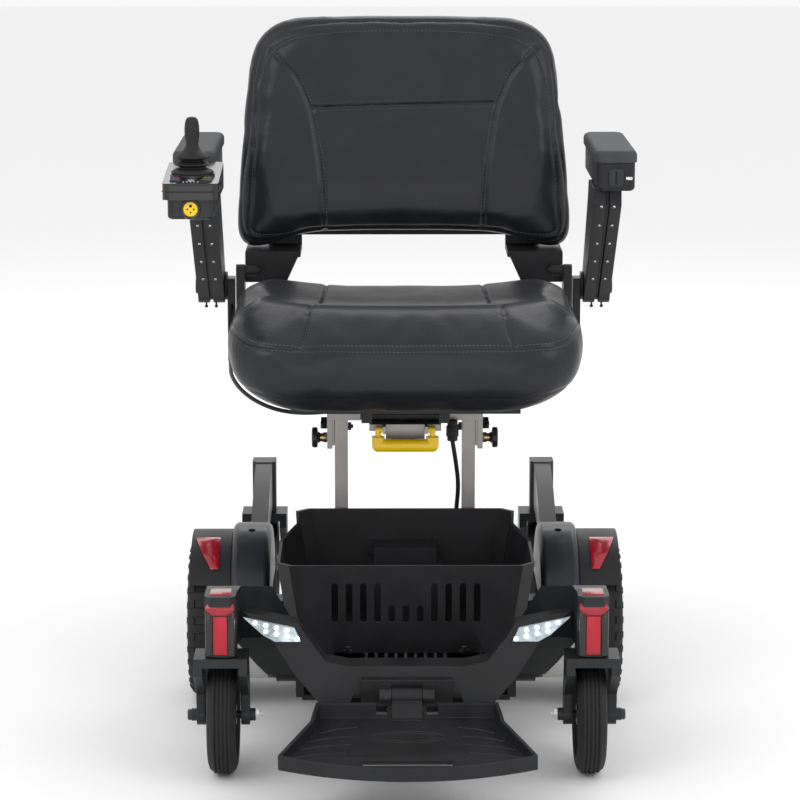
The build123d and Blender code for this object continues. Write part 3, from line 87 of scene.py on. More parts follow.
@dataclass(frozen=True)
class Finish:
    """A surface finish with fine relief and broad mottling of its colour and roughness.

    Sizes are in metres, and cells are counted per metre.
    """

    name: str
    colour: Point
    roughness: float
    metallic: float = 0.0
    coat: float = 0.0
    sheen: float = 0.0
    pattern: Pattern = Pattern.GRAIN
    cells: float = 900.0
    relief: float = 0.00012
    mottle: float = 0.25
    rough_spread: float = 0.08
    crease: float = 0.0
    glow: float = 0.0
    specular: float = 0.3

    def build(self) -> bpy.types.Material:
        """Make the node material.

        Returns:
            The finished material.
        """
        material = bpy.data.materials.new(self.name)
        material.use_nodes = True
        nodes, links = material.node_tree.nodes, material.node_tree.links
        shader = nodes["Principled BSDF"]
        shader.inputs["Metallic"].default_value = self.metallic
        shader.inputs["Coat Weight"].default_value = self.coat
        shader.inputs["Coat Roughness"].default_value = 0.12
        shader.inputs["Sheen Weight"].default_value = self.sheen
        shader.inputs["Sheen Roughness"].default_value = 0.45
        shader.inputs["Specular IOR Level"].default_value = self.specular
        if self.glow:
            shader.inputs["Emission Color"].default_value = (*self.colour, 1)
            shader.inputs["Emission Strength"].default_value = self.glow
        coordinates = nodes.new("ShaderNodeTexCoord")
        mapping = nodes.new("ShaderNodeMapping")
        links.new(coordinates.outputs["Object"], mapping.inputs["Vector"])
        if self.pattern is Pattern.BRUSHED:
            mapping.inputs["Scale"].default_value = (1.0, 1.0, 0.05)
        broad = nodes.new("ShaderNodeTexNoise")
        broad.inputs["Scale"].default_value = 22.0
        broad.inputs["Detail"].default_value = 5.0
        links.new(coordinates.outputs["Object"], broad.inputs["Vector"])
        self._tint(nodes, links, broad, shader)
        relief = self._relief(nodes, links, mapping)
        bump = nodes.new("ShaderNodeBump")
        bump.inputs["Distance"].default_value = self.relief
        links.new(relief, bump.inputs["Height"])
        if self.crease:
            folds = nodes.new("ShaderNodeTexNoise")
            folds.inputs["Scale"].default_value = 38.0
            folds.inputs["Distortion"].default_value = 1.2
            links.new(coordinates.outputs["Object"], folds.inputs["Vector"])
            soft = nodes.new("ShaderNodeBump")
            soft.inputs["Distance"].default_value = self.crease
            soft.inputs["Strength"].default_value = 0.6
            links.new(folds.outputs["Fac"], soft.inputs["Height"])
            links.new(soft.outputs["Normal"], bump.inputs["Normal"])
        links.new(bump.outputs["Normal"], shader.inputs["Normal"])
        return material

    def _tint(self, nodes: bpy.types.Nodes, links: bpy.types.NodeLinks, broad: bpy.types.Node,
              shader: bpy.types.Node) -> None:
        """Vary colour and roughness softly over the surface.

        Args:
            nodes: the material's nodes.
            links: the material's links.
            broad: the broad noise.
            shader: the material's shader.
        """
        ramp = nodes.new("ShaderNodeValToRGB")
        dark = tuple(c * (1 - self.mottle) for c in self.colour)
        light = tuple(min(1.0, c * (1 + self.mottle)) for c in self.colour)
        ramp.color_ramp.elements[0].position = 0.3
        ramp.color_ramp.elements[0].color = (*dark, 1)
        ramp.color_ramp.elements[1].position = 0.7
        ramp.color_ramp.elements[1].color = (*light, 1)
        links.new(broad.outputs["Fac"], ramp.inputs["Fac"])
        links.new(ramp.outputs["Color"], shader.inputs["Base Color"])
        spread = nodes.new("ShaderNodeMapRange")
        spread.inputs["To Min"].default_value = max(0.02, self.roughness - self.rough_spread)
        spread.inputs["To Max"].default_value = min(1.0, self.roughness + self.rough_spread)
        links.new(broad.outputs["Fac"], spread.inputs["Value"])
        links.new(spread.outputs["Result"], shader.inputs["Roughness"])

    def _relief(self, nodes: bpy.types.Nodes, links: bpy.types.NodeLinks,
                mapping: bpy.types.Node) -> bpy.types.NodeSocket:
        """Make the fine relief's height.

        Args:
            nodes: the material's nodes.
            links: the material's links.
            mapping: the node that scales the pattern.

        Returns:
            The socket that carries the height.
        """
        if self.pattern is Pattern.CELLS:
            cells = nodes.new("ShaderNodeTexVoronoi")
            cells.feature = "SMOOTH_F1"
            cells.inputs["Scale"].default_value = self.cells
            links.new(mapping.outputs["Vector"], cells.inputs["Vector"])
            return cells.outputs["Distance"]
        grain = nodes.new("ShaderNodeTexNoise")
        grain.inputs["Scale"].default_value = self.cells
        grain.inputs["Detail"].default_value = 3.0
        links.new(mapping.outputs["Vector"], grain.inputs["Vector"])
        return grain.outputs["Fac"]


LEATHER = Finish("leatherette", (0.0100, 0.0108, 0.0140), 0.38, coat=0.10, sheen=0.04,
                 pattern=Pattern.CELLS, cells=520, relief=0.00020, mottle=0.2, crease=0.0007)
THREAD = Finish("thread", (0.075, 0.08, 0.09), 0.7, cells=2500, relief=0.00005)
PLASTIC = Finish("grained_plastic", (0.0115, 0.0118, 0.0135), 0.45, cells=1300, relief=0.00022)
SMOOTH = Finish("smooth_plastic", (0.0165, 0.018, 0.021), 0.34, coat=0.1, cells=700, relief=0.00004)
GLOSS = Finish("gloss_black", (0.011, 0.011, 0.012), 0.22, coat=0.5, cells=400, relief=0.00002)
POWDER = Finish("powder_coat", (0.011, 0.011, 0.0125), 0.42, cells=1600, relief=0.00015, coat=0.1)
CASTING = Finish("arm_casting", (0.014, 0.015, 0.017), 0.38, cells=900, relief=0.0001, coat=0.08)
STEEL = Finish("post_steel", (0.30, 0.285, 0.27), 0.40, metallic=0.85, pattern=Pattern.BRUSHED,
               cells=1500, relief=0.00006, mottle=0.12)
ALUMINIUM = Finish("cast_aluminium", (0.56, 0.56, 0.54), 0.45, metallic=0.8, cells=1100,
                   relief=0.0003, mottle=0.12)
CHROME = Finish("bright_steel", (0.62, 0.62, 0.63), 0.2, metallic=1.0, cells=600, relief=0.00002)
BRASS = Finish("turned_brass", (0.50, 0.36, 0.19), 0.3, metallic=1.0, cells=900, relief=0.00004)
RED = Finish("red_gloss", (0.33, 0.004, 0.014), 0.22, metallic=0.25, coat=0.9, cells=900,
             relief=0.00002, mottle=0.12, rough_spread=0.03)
YELLOW = Finish("yellow_sleeve", (0.86, 0.56, 0.006), 0.26, coat=0.5, cells=500, relief=0.00003,
                mottle=0.06, rough_spread=0.03)
TYRE = Finish("tyre_rubber", (0.0145, 0.0145, 0.015), 0.68, cells=1400, relief=0.0003, mottle=0.3)
RUBBER = Finish("soft_rubber", (0.016, 0.016, 0.017), 0.6, cells=1000, relief=0.00012)
JACKET = Finish("cable_jacket", (0.012, 0.012, 0.013), 0.42, cells=700, relief=0.00006)
PAD = Finish("pebbled_pad", (0.050, 0.052, 0.057), 0.66, pattern=Pattern.CELLS, cells=750,
             relief=0.0004, mottle=0.18)
KEY = Finish("key_rubber", (0.045, 0.047, 0.05), 0.55, cells=1200, relief=0.00008)
RED_FLAT = Finish("red_strip", (0.42, 0.006, 0.020), 0.34, coat=0.3, cells=900, relief=0.00003,
                  mottle=0.08)
# Near-black finish for the strip in the latch's slot: painted shade standing for the slot's dark
# hollow.
SLOT_SHADE = Finish("slot_painted_shade", (0.003, 0.003, 0.003), 0.6, relief=0.00001)
DIODE = Finish("diode", (0.95, 0.98, 1.0), 0.2, glow=9.0, relief=0.00001, mottle=0.01)
LENS = Finish("faceted_lens", (0.30, 0.36, 0.40), 0.10, coat=0.8, glow=0.55,
              pattern=Pattern.CELLS, cells=150, relief=0.006, mottle=0.75, specular=0.6)
# The three sign colours glow a little: a painted glow on printed key signs, which are no lamps.
ICON_RED = Finish("icon_red", (0.75, 0.02, 0.02), 0.4, glow=0.3, relief=0.00001)
ICON_GREEN = Finish("icon_green", (0.04, 0.55, 0.10), 0.4, glow=0.3, relief=0.00001)
ICON_BLUE = Finish("icon_blue", (0.05, 0.22, 0.75), 0.4, glow=0.3, relief=0.00001)
ICON_PALE = Finish("icon_pale", (0.55, 0.57, 0.58), 0.45, relief=0.00001)


class Workshop:
    """Keeps the frame, the materials and the ways that pieces are modelled."""

    def __init__(self, frame: dict) -> None:
        """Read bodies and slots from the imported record.
        """
        self.nodes = frame["nodes"]
        record = frame["record"]
        self.slots = {part["node"]: part["material_slot"] for part in record["subparts"]}
        self.body = {n: b for b, group in record["behaviour"]["bodies"].items() for n in group}
        self._materials: dict[str, bpy.types.Material] = {}

    def material(self, finish: Finish) -> bpy.types.Material:
        """Return a finish's material, made once."""
        if finish.name not in self._materials:
            self._materials[finish.name] = finish.build()
        return self._materials[finish.name]

    def dress(self, piece: bpy.types.Object, finish: Finish) -> None:
        """Give a new piece one material all over."""
        piece.data.materials.clear()
        piece.data.materials.append(self.material(finish))

    def settle(self, piece: bpy.types.Object, body: str, finish: Finish, slot: str,
               *replaced: str) -> None:
        """Dress a piece, put it on its body and hide the nodes it replaces.

        Args:
            piece: the finished object.
            body: the body it rides on.
            finish: its finish.
            slot: a material slot from the record; not used.
            replaced: the nodes it hides.
        """
        self.dress(piece, finish)
        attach(piece, body)
        if replaced:
            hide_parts(*replaced)
        LOG.info("%s: %d faces on %s", piece.name, len(piece.data.polygons), body)

    def settle_curve(self, piece: bpy.types.Object, node: str) -> None:
        """Dress a lead, put it on its body and let it stand for its node."""
        piece.data.materials.append(self.material(JACKET))
        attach(piece, self.body[node])
        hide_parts(node)
        LOG.info("%s on %s", piece.name, self.body[node])

    def coat_node(self, node: str, finish: Finish) -> None:
        """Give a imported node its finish, with its mesh as it is."""
        for slot in self.nodes[node].material_slots:
            slot.material = self.material(finish)

    def refined(self, node: str, finish: Finish, width: float = 0.0009) -> bpy.types.Object:
        """Replace a node by a copy whose edges are eased and whose curves are smooth.

        Args:
            node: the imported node.
            finish: the finish of the copy.
            width: the eased edge's width.

        Returns:
            The new piece.
        """
        piece = copy_of(self.nodes[node], f"{node}_shell")
        ease = piece.modifiers.new("ease", "BEVEL")
        ease.width, ease.segments, ease.limit_method = width, 2, "ANGLE"
        ease.angle_limit = math.radians(38)
        ease.use_clamp_overlap = True
        apply_all(piece)
        smooth(piece)
        even = piece.modifiers.new("even", "WEIGHTED_NORMAL")
        even.keep_sharp = True
        apply_all(piece)
        self.settle(piece, self.body[node], finish, self.slots[node], node)
        return piece


def alone(piece: bpy.types.Object) -> None:
    """Select one object only and make it active."""
    for other in bpy.context.view_layer.objects:
        other.select_set(False)
    piece.select_set(True)
    bpy.context.view_layer.objects.active = piece


def apply_all(piece: bpy.types.Object) -> None:
    """Apply every modifier of a piece, in order."""
    alone(piece)
    for modifier in list(piece.modifiers):
        bpy.ops.object.modifier_apply(modifier=modifier.name)


def smooth(piece: bpy.types.Object, angle: float = 35.0) -> None:
    """Shade smooth, apart from edges sharper than an angle in degrees."""
    alone(piece)
    bpy.ops.object.shade_smooth_by_angle(angle=math.radians(angle))


def from_mesh(name: str, verts: list, faces: list) -> bpy.types.Object:
    """Make an object at the origin from points and faces."""
    data = bpy.data.meshes.new(name)
    data.from_pydata([tuple(v) for v in verts], [], faces)
    piece = bpy.data.objects.new(name, data)
    bpy.context.scene.collection.objects.link(piece)
    return piece


def copy_of(node: bpy.types.Object, name: str) -> bpy.types.Object:
    """Copy a node's mesh, merge its loose triangles and clear its flat edges.

    Args:
        node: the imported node's object.
        name: the copy's name.

    Returns:
        The copy, at the origin.
    """
    data = bpy.data.meshes.new(name)
    bm = bmesh.new()
    bm.from_mesh(node.data)
    bm.transform(node.matrix_world)
    bmesh.ops.remove_doubles(bm, verts=bm.verts, dist=0.00001)
    bmesh.ops.dissolve_limit(bm, angle_limit=math.radians(1.5), verts=bm.verts, edges=bm.edges)
    bm.to_mesh(data)
    bm.free()
    piece = bpy.data.objects.new(name, data)
    bpy.context.scene.collection.objects.link(piece)
    return piece


def eased_box(name: str, low: Point, high: Point, ease: float) -> bpy.types.Object:
    """Model a block with rounded edges between two corners.

    Args:
        name: the piece's name.
        low: its lowest corner.
        high: its highest corner.
        ease: the edges' radius.

    Returns:
        The piece, with its place in its mesh.
    """
    middle = [(a + b) / 2 for a, b in zip(low, high)]
    bpy.ops.mesh.primitive_cube_add(size=1, location=middle)
    piece = bpy.context.object
    piece.name = name
    piece.scale = [abs(b - a) for a, b in zip(low, high)]
    bpy.ops.object.transform_apply(location=True, rotation=True, scale=True)
    bpy.ops.object.mode_set(mode="EDIT")
    bpy.ops.mesh.select_all(action="SELECT")
    bpy.ops.mesh.bevel(offset=ease, segments=3, affect="EDGES")
    bpy.ops.object.mode_set(mode="OBJECT")
    smooth(piece, 50)
    return piece


def fit_to_box(piece: bpy.types.Object, low: Point, high: Point) -> None:
    """Stretch a piece a little so that it fills a box.

    Args:
        piece: the piece, at the origin.
        low: the box's lowest corner.
        high: the box's highest corner.
    """
    points = [v.co.copy() for v in piece.data.vertices]
    for axis in range(3):
        start = min(p[axis] for p in points)
        end = max(p[axis] for p in points)
        share = (high[axis] - low[axis]) / (end - start)
        for vertex, point in zip(piece.data.vertices, points):
            vertex.co[axis] = low[axis] + (point[axis] - start) * share
    piece.data.update()


def spun(name: str, profile: list[Flat], centre: Point, axis: Point,
         steps: int) -> bpy.types.Object:
    """Spin a profile of (radius, height) points once round an axis.

    Args:
        name: the piece's name.
        profile: points from one end of the outline to the other.
        centre: a point on the axis, at height 0.
        axis: the axis's direction.
        steps: how many steps the turn has.

    Returns:
        The piece.
    """
    along = Vector(axis).normalized()
    side = along.orthogonal().normalized()
    base = Vector(centre)
    verts = [base + side * radius + along * height for radius, height in profile]
    piece = from_mesh(name, verts, [])
    piece.data.clear_geometry()
    bm = bmesh.new()
    made = [bm.verts.new(v) for v in verts]
    for first, second in zip(made, made[1:]):
        bm.edges.new((first, second))
    bm.to_mesh(piece.data)
    bm.free()
    alone(piece)
    bpy.ops.object.mode_set(mode="EDIT")
    bpy.ops.mesh.select_all(action="SELECT")
    bpy.ops.mesh.spin(steps=steps, angle=2 * math.pi, center=base, axis=along)
    bpy.ops.mesh.select_all(action="SELECT")
    bpy.ops.mesh.remove_doubles(threshold=0.00002)
    bpy.ops.mesh.normals_make_consistent(inside=False)
    bpy.ops.object.mode_set(mode="OBJECT")
    smooth(piece, 40)
    return piece


def joined(name: str, pieces: list[bpy.types.Object]) -> bpy.types.Object:
    """Join pieces into the first one and name it."""
    alone(pieces[0])
    for piece in pieces[1:]:
        piece.select_set(True)
    bpy.ops.object.join()
    pieces[0].name = name
    return pieces[0]


def screw(name: str, centre: Point, axis: Point, radius: float) -> bpy.types.Object:
    """Model a low round screw head with a sunk socket."""
    r = radius
    outline = [(0.0, r * 0.25), (r * 0.45, r * 0.25), (r * 0.5, r * 0.7), (r * 0.85, r * 0.65),
               (r, r * 0.35), (r, 0.0)]
    return spun(name, outline, centre, axis, 20)


def smooth_line(points: list, per_run: int, closed: bool = False) -> list[Vector]:
    """Run a Catmull-Rom line through points.

    Args:
        points: the points.
        per_run: samples for each run.
        closed: whether the line returns to its start.

    Returns:
        The line's samples.
    """
    pts = [Vector(p) for p in points]
    count = len(pts)
    line = []
    for i in range(count if closed else count - 1):
        a = pts[(i - 1) % count] if closed or i else pts[0]
        b, c = pts[i], pts[(i + 1) % count]
        d = pts[(i + 2) % count] if closed or i + 2 < count else pts[-1]
        for k in range(per_run):
            t = k / per_run
            line.append(0.5 * ((2 * b) + (c - a) * t + (2 * a - 5 * b + 4 * c - d) * t * t
                               + (3 * b - a - 3 * c + d) * t ** 3))
    if not closed:
        line.append(pts[-1])
    return line


@dataclass
class Seam:
    """A sewn line: points outside the cushion and the way they are cast onto it."""

    points: list[Point]
    cast: Point | None = None
    closed: bool = False
    depth: float = 0.0030
    width: float = 0.0032
    rows: tuple[float, ...] = (-0.0042, 0.0042)


@dataclass
class Cushion:
    """A stuffed cushion under leatherette, with its sewn seams and stitches."""

    name: str
    node: str
    voxel: float
    cap: float
    smoothing: int
    reach: tuple[Point, Point]

    def shape(self) -> bpy.types.Object:
        """Return the plain stuffed form, a little slim."""
        raise NotImplementedError

    def seams(self) -> list[Seam]:
        """Return the sewn lines."""
        raise NotImplementedError

    def build(self, shop: Workshop) -> None:
        """Make the cushion, swell it, sew it and stitch it."""
        piece = self.shape()
        remesh = piece.modifiers.new("even", "REMESH")
        remesh.mode, remesh.voxel_size = "VOXEL", self.voxel
        relax = piece.modifiers.new("relax", "SMOOTH")
        relax.factor, relax.iterations = 0.5, self.smoothing
        apply_all(piece)
        self._swell(piece)
        relax = piece.modifiers.new("settle", "SMOOTH")
        relax.factor, relax.iterations = 0.5, 14
        apply_all(piece)
        fit_to_box(piece, *self.reach)
        finer = piece.modifiers.new("finer", "SUBSURF")
        finer.levels = finer.render_levels = 1
        apply_all(piece)
        lines = self._sew(piece)
        alone(piece)
        bpy.ops.object.shade_smooth()
        shop.settle(piece, shop.body[self.node], LEATHER, shop.slots[self.node], self.node)
        stitches = self._stitch(piece, lines)
        shop.settle(stitches, shop.body[self.node], THREAD, shop.slots[self.node])

    def _swell(self, piece: bpy.types.Object) -> None:
        """Blow the cushion up gently as cloth, and cap how far it moves."""
        rest = [v.co.copy() for v in piece.data.vertices]
        cloth = piece.modifiers.new("swell", "CLOTH")
        settings = cloth.settings
        settings.use_pressure = True
        settings.uniform_pressure_force = 4.0
        settings.effector_weights.gravity = 0.0
        settings.tension_stiffness = settings.compression_stiffness = 12.0
        settings.quality = 5
        cloth.point_cache.frame_start, cloth.point_cache.frame_end = 1, 20
        scene = bpy.context.scene
        for frame in range(1, 21):
            scene.frame_set(frame)
        apply_all(piece)
        scene.frame_set(1)
        for vertex, start in zip(piece.data.vertices, rest):
            moved = vertex.co - start
            if moved.length > self.cap:
                vertex.co = start + moved.normalized() * self.cap

    def _sew(self, piece: bpy.types.Object) -> list[tuple[Seam, list]]:
        """Cast each seam onto the cushion and press its groove in.

        Returns:
            Each seam with its points and normals on the surface.
        """
        tree = BVHTree.FromObject(piece, bpy.context.evaluated_depsgraph_get())
        lines = []
        for seam in self.seams():
            samples = []
            for point in smooth_line(seam.points, 24, seam.closed):
                if seam.cast is None:
                    place, normal, _, _ = tree.find_nearest(point)
                else:
                    place, normal, _, _ = tree.ray_cast(point, Vector(seam.cast))
                if place is not None:
                    samples.append((place, normal))
            lines.append((seam, samples))
            finder = KDTree(len(samples))
            for index, (place, _) in enumerate(samples):
                finder.insert(place, index)
            finder.balance()
            for vertex in piece.data.vertices:
                _, index, gap = finder.find(vertex.co)
                if gap < 3 * seam.width:
                    pull = seam.depth * math.exp(-((gap / seam.width) ** 2))
                    vertex.co -= samples[index][1] * pull
        piece.data.update()
        return lines

    def _stitch(self, piece: bpy.types.Object, lines: list) -> bpy.types.Object:
        """Lay short threads beside each seam.

        Returns:
            One piece with every stitch.
        """
        tree = BVHTree.FromObject(piece, bpy.context.evaluated_depsgraph_get())
        verts: list = []
        faces: list = []
        for seam, samples in lines:
            for row in seam.rows:
                path = []
                for (place, normal), (after, _) in zip(samples, samples[1:]):
                    step = after - place
                    if step.length < 1e-6:
                        continue
                    side = step.normalized().cross(normal)
                    spot, up, _, _ = tree.find_nearest(place + side * row)
                    path.append((spot, up))
                self._threads(path, verts, faces)
        return from_mesh(f"{self.name}_stitches", verts, faces)

    @staticmethod
    def _threads(path: list, verts: list, faces: list) -> None:
        """Add six-sided threads of even length along a path on the surface."""
        pitch, length, radius = 0.0052, 0.0036, 0.00048
        travelled, due = 0.0, 0.0
        for (spot, up), (after, _) in zip(path, path[1:]):
            step = after - spot
            if step.length < 1e-6 or step.length > 0.03:
                continue
            way = step.normalized()
            while due <= travelled + step.length:
                centre = spot + way * (due - travelled) + up * radius * 0.55
                across = way.cross(up).normalized()
                base = len(verts)
                for reach, size in ((-0.5, 0.45), (-0.3, 1.0), (0.3, 1.0), (0.5, 0.45)):
                    for k in range(6):
                        turn = math.pi * k / 3
                        offset = across * math.cos(turn) + up * math.sin(turn)
                        verts.append(centre + way * length * reach + offset * radius * size)
                for ring in range(3):
                    for k in range(6):
                        a, b = base + ring * 6 + k, base + ring * 6 + (k + 1) % 6
                        faces.append((a, b, b + 6, a + 6))
                faces.append(tuple(base + k for k in range(5, -1, -1)))
                faces.append(tuple(base + 18 + k for k in range(6)))
                due += pitch
            travelled += step.length


@dataclass
class BackCushion(Cushion):
    """The reclined backrest cushion, with two long curved seams and one across."""

    lean: float = math.radians(10)
    front: float = 0.249
    foot: float = 0.600
    thickness: float = 0.040

    HALF = [(0.0, 0.9095), (0.075, 0.9085), (0.142, 0.902), (0.178, 0.890), (0.202, 0.868),
            (0.215, 0.832), (0.2225, 0.780), (0.2265, 0.725), (0.230, 0.670), (0.232, 0.633),
            (0.228, 0.611), (0.213, 0.599), (0.190, 0.5965), (0.155, 0.599), (0.125, 0.6045),
            (0.065, 0.606), (0.0, 0.606)]

    def plane_y(self, z: float) -> float:
        """Return the front face's Y at a height."""
        return self.front + (z - self.foot) * math.tan(self.lean)

    def outline(self, inset: float = 0.0) -> list[Flat]:
        """Return the whole outline of (X, Z) points, drawn in by an inset."""
        half = self.HALF
        whole = half + [(-x, z) for x, z in reversed(half[1:-1])]
        if not inset:
            return whole
        line = [Vector((x, z, 0)) for x, z in whole]
        moved = []
        for i, point in enumerate(line):
            way = (line[(i + 1) % len(line)] - line[i - 1]).normalized()
            inward = Vector((way.y, -way.x, 0))
            if inward.dot(Vector((0, 0.75, 0)) - point) < 0:
                inward = -inward
            moved.append(tuple((point + inward * inset)[:2]))
        return moved

    def shape(self) -> bpy.types.Object:
        """Return the leaned slab, hollowed across and swept forward at its sides."""
        ring = smooth_line([(x, z, 0) for x, z in self.outline(0.005)], 4, True)
        count = len(ring)
        verts, faces = [], []
        for depth in (0.0, self.thickness):
            for p in ring:
                verts.append((p.x, self.plane_y(p.y) + depth, p.y))
        faces.append(tuple(range(count)))
        faces.append(tuple(range(2 * count - 1, count - 1, -1)))
        for k in range(count):
            nxt = (k + 1) % count
            faces.append((k, k + count, nxt + count, nxt))
        piece = from_mesh(self.name, verts, faces)
        alone(piece)
        bpy.ops.object.mode_set(mode="EDIT")
        bpy.ops.mesh.select_all(action="SELECT")
        bpy.ops.mesh.normals_make_consistent(inside=False)
        bpy.ops.object.mode_set(mode="OBJECT")
        round_rim = piece.modifiers.new("rim", "BEVEL")
        round_rim.width, round_rim.segments = 0.016, 4
        round_rim.limit_method, round_rim.angle_limit = "ANGLE", math.radians(60)
        apply_all(piece)
        fine = piece.modifiers.new("fine", "REMESH")
        fine.mode, fine.voxel_size = "VOXEL", self.voxel
        apply_all(piece)
        for vertex in piece.data.vertices:
            x, z = vertex.co.x, vertex.co.z
            into = vertex.co.y - self.plane_y(z)
            share = max(0.0, 1 - into / self.thickness)
            wing = 0.010 * min(1.0, (abs(x) / 0.22)) ** 2.2
            hollow = 0.006 * math.exp(-((x / 0.10) ** 2))
            lumbar = 0.006 * math.exp(-(((z - 0.68) / 0.06) ** 2))
            vertex.co.y += share * (hollow - wing - lumbar) + 0.004
        return piece

    def seams(self) -> list[Seam]:
        """Return the curved side seams, the seam across and the two rim rows."""
        into = (0.0, 1.0, 0.0)

        def flat(points: list[Flat]) -> list[Point]:
            """Set points of the outline just in front of the cushion."""
            return [(x, self.plane_y(z) - 0.08, z) for x, z in points]

        left = [(-0.1874, 0.868), (-0.170, 0.852), (-0.149, 0.8276), (-0.1308, 0.785),
                (-0.1215, 0.735), (-0.116, 0.690), (-0.1135, 0.650), (-0.112, 0.612)]
        right = [(-x, z + 0.004) for x, z in left]
        across = [(-0.1294, 0.7875), (-0.06, 0.7895), (0.0, 0.791), (0.06, 0.7925),
                  (0.1255, 0.7945)]
        rim = flat(self.outline(0.0145))
        edge = [(x, self.plane_y(z) + 0.002, z) for x, z in self.outline(0.004)]
        single = (0.0034,)
        return [
            Seam(flat(left), into, rows=(-0.0038,)),
            Seam(flat(right), into, rows=(0.0038,)),
            Seam(flat(across), into, rows=single),
            Seam(rim, into, True, 0.0014, 0.0028, (0.0,)),
            Seam(edge, None, True, 0.0022, 0.0026, ()),
        ]


@dataclass
class SeatCushion(Cushion):
    """The seat cushion: a rolled front, low side bolsters and a sewn front band."""

    half_width: float = 0.229
    front: float = -0.189
    back: float = 0.200
    bottom: float = 0.436

    def top(self, x: float, y: float) -> float:
        """Return the upper surface's height at a place."""
        roll = 0.0155 * math.exp(-(((y + 0.105) / 0.055) ** 2))
        wings = 0.024 * min(1.0, abs(x) / 0.205) ** 3.5 * min(1.0, max(0.0, (y + 0.14) / 0.11))
        rear = 0.004 * max(0.0, y / 0.2)
        return 0.5360 + roll + wings + rear

    def shape(self) -> bpy.types.Object:
        """Return the rounded block with its rolled and bolstered top."""
        middle = ((self.front + self.back) / 2, (self.bottom + 0.545) / 2)
        bpy.ops.mesh.primitive_cube_add(size=2, location=(0, 0, 0))
        piece = bpy.context.object
        piece.name = self.name
        bpy.ops.object.mode_set(mode="EDIT")
        bpy.ops.mesh.select_all(action="SELECT")
        bpy.ops.mesh.subdivide(number_cuts=40)
        bpy.ops.object.mode_set(mode="OBJECT")
        reach = (self.back - self.front) / 2
        for vertex in piece.data.vertices:
            u, v, w = vertex.co
            power = (7.5, 7.5, 4.6)
            total = abs(u) ** power[0] + abs(v) ** power[1] + abs(w) ** power[2]
            pull = total ** (-1 / 6.0)
            u, v, w = u * pull, v * pull, w * pull
            x = max(-1.0, min(1.0, u)) * self.half_width
            y = middle[0] + max(-1.0, min(1.0, v)) * reach
            lift = (max(-1.0, min(1.0, w)) + 1) / 2
            low = self.bottom + 0.024 * min(1.0, abs(x) / 0.226) ** 6
            high = self.top(x, y)
            z = low + (high - low) * lift
            tuck = 1 - 0.035 * (1 - lift) ** 2
            vertex.co = (x * tuck, y, z)
        alone(piece)
        bpy.ops.object.mode_set(mode="EDIT")
        bpy.ops.mesh.select_all(action="SELECT")
        bpy.ops.mesh.normals_make_consistent(inside=False)
        bpy.ops.object.mode_set(mode="OBJECT")
        return piece

    def band(self, rise: float) -> list[Point]:
        """Return the band's line round the sides and front, raised by a little."""
        half, front = 0.225, self.front
        line = [(half, 0.17, 0.545), (half, 0.09, 0.5445), (half, 0.0, 0.542), (half, -0.09, 0.539),
                (half - 0.006, -0.145, 0.536), (half - 0.028, front + 0.010, 0.5315),
                (0.150, front, 0.5275), (0.075, front, 0.526), (0.0, front, 0.5255)]
        whole = line + [(-x, y, z) for x, y, z in reversed(line[:-1])]
        return [(x, y, z + rise) for x, y, z in whole]

    def seams(self) -> list[Seam]:
        """Return the front band, the fore-and-aft seams and the lower welt."""
        down = (0.0, 0.0, -1.0)
        seams = [Seam(self.band(0.0), None, False, 0.0026, 0.0030, (-0.0042, 0.0042))]
        for side in (1, -1):
            aft = [(side * 0.106, 0.185, 0.7), (side * 0.110, 0.10, 0.7), (side * 0.113, 0.0, 0.7),
                   (side * 0.120, -0.08, 0.7), (side * 0.128, -0.135, 0.7)]
            seams.append(Seam(aft, down, rows=(side * 0.0036,)))
            fall = [(side * 0.128, -0.135, 0.552), (side * 0.133, -0.168, 0.545),
                    (side * 0.139, -0.186, 0.532)]
            seams.append(Seam(fall, None, rows=(side * 0.0036,)))
        welt = [(x * 0.965, y, z - 0.078 + 0.012 * (abs(x) / 0.225) ** 3)
                for x, y, z in self.band(0.0)]
        seams.append(Seam(welt, None, False, 0.0016, 0.0026, ()))
        return seams


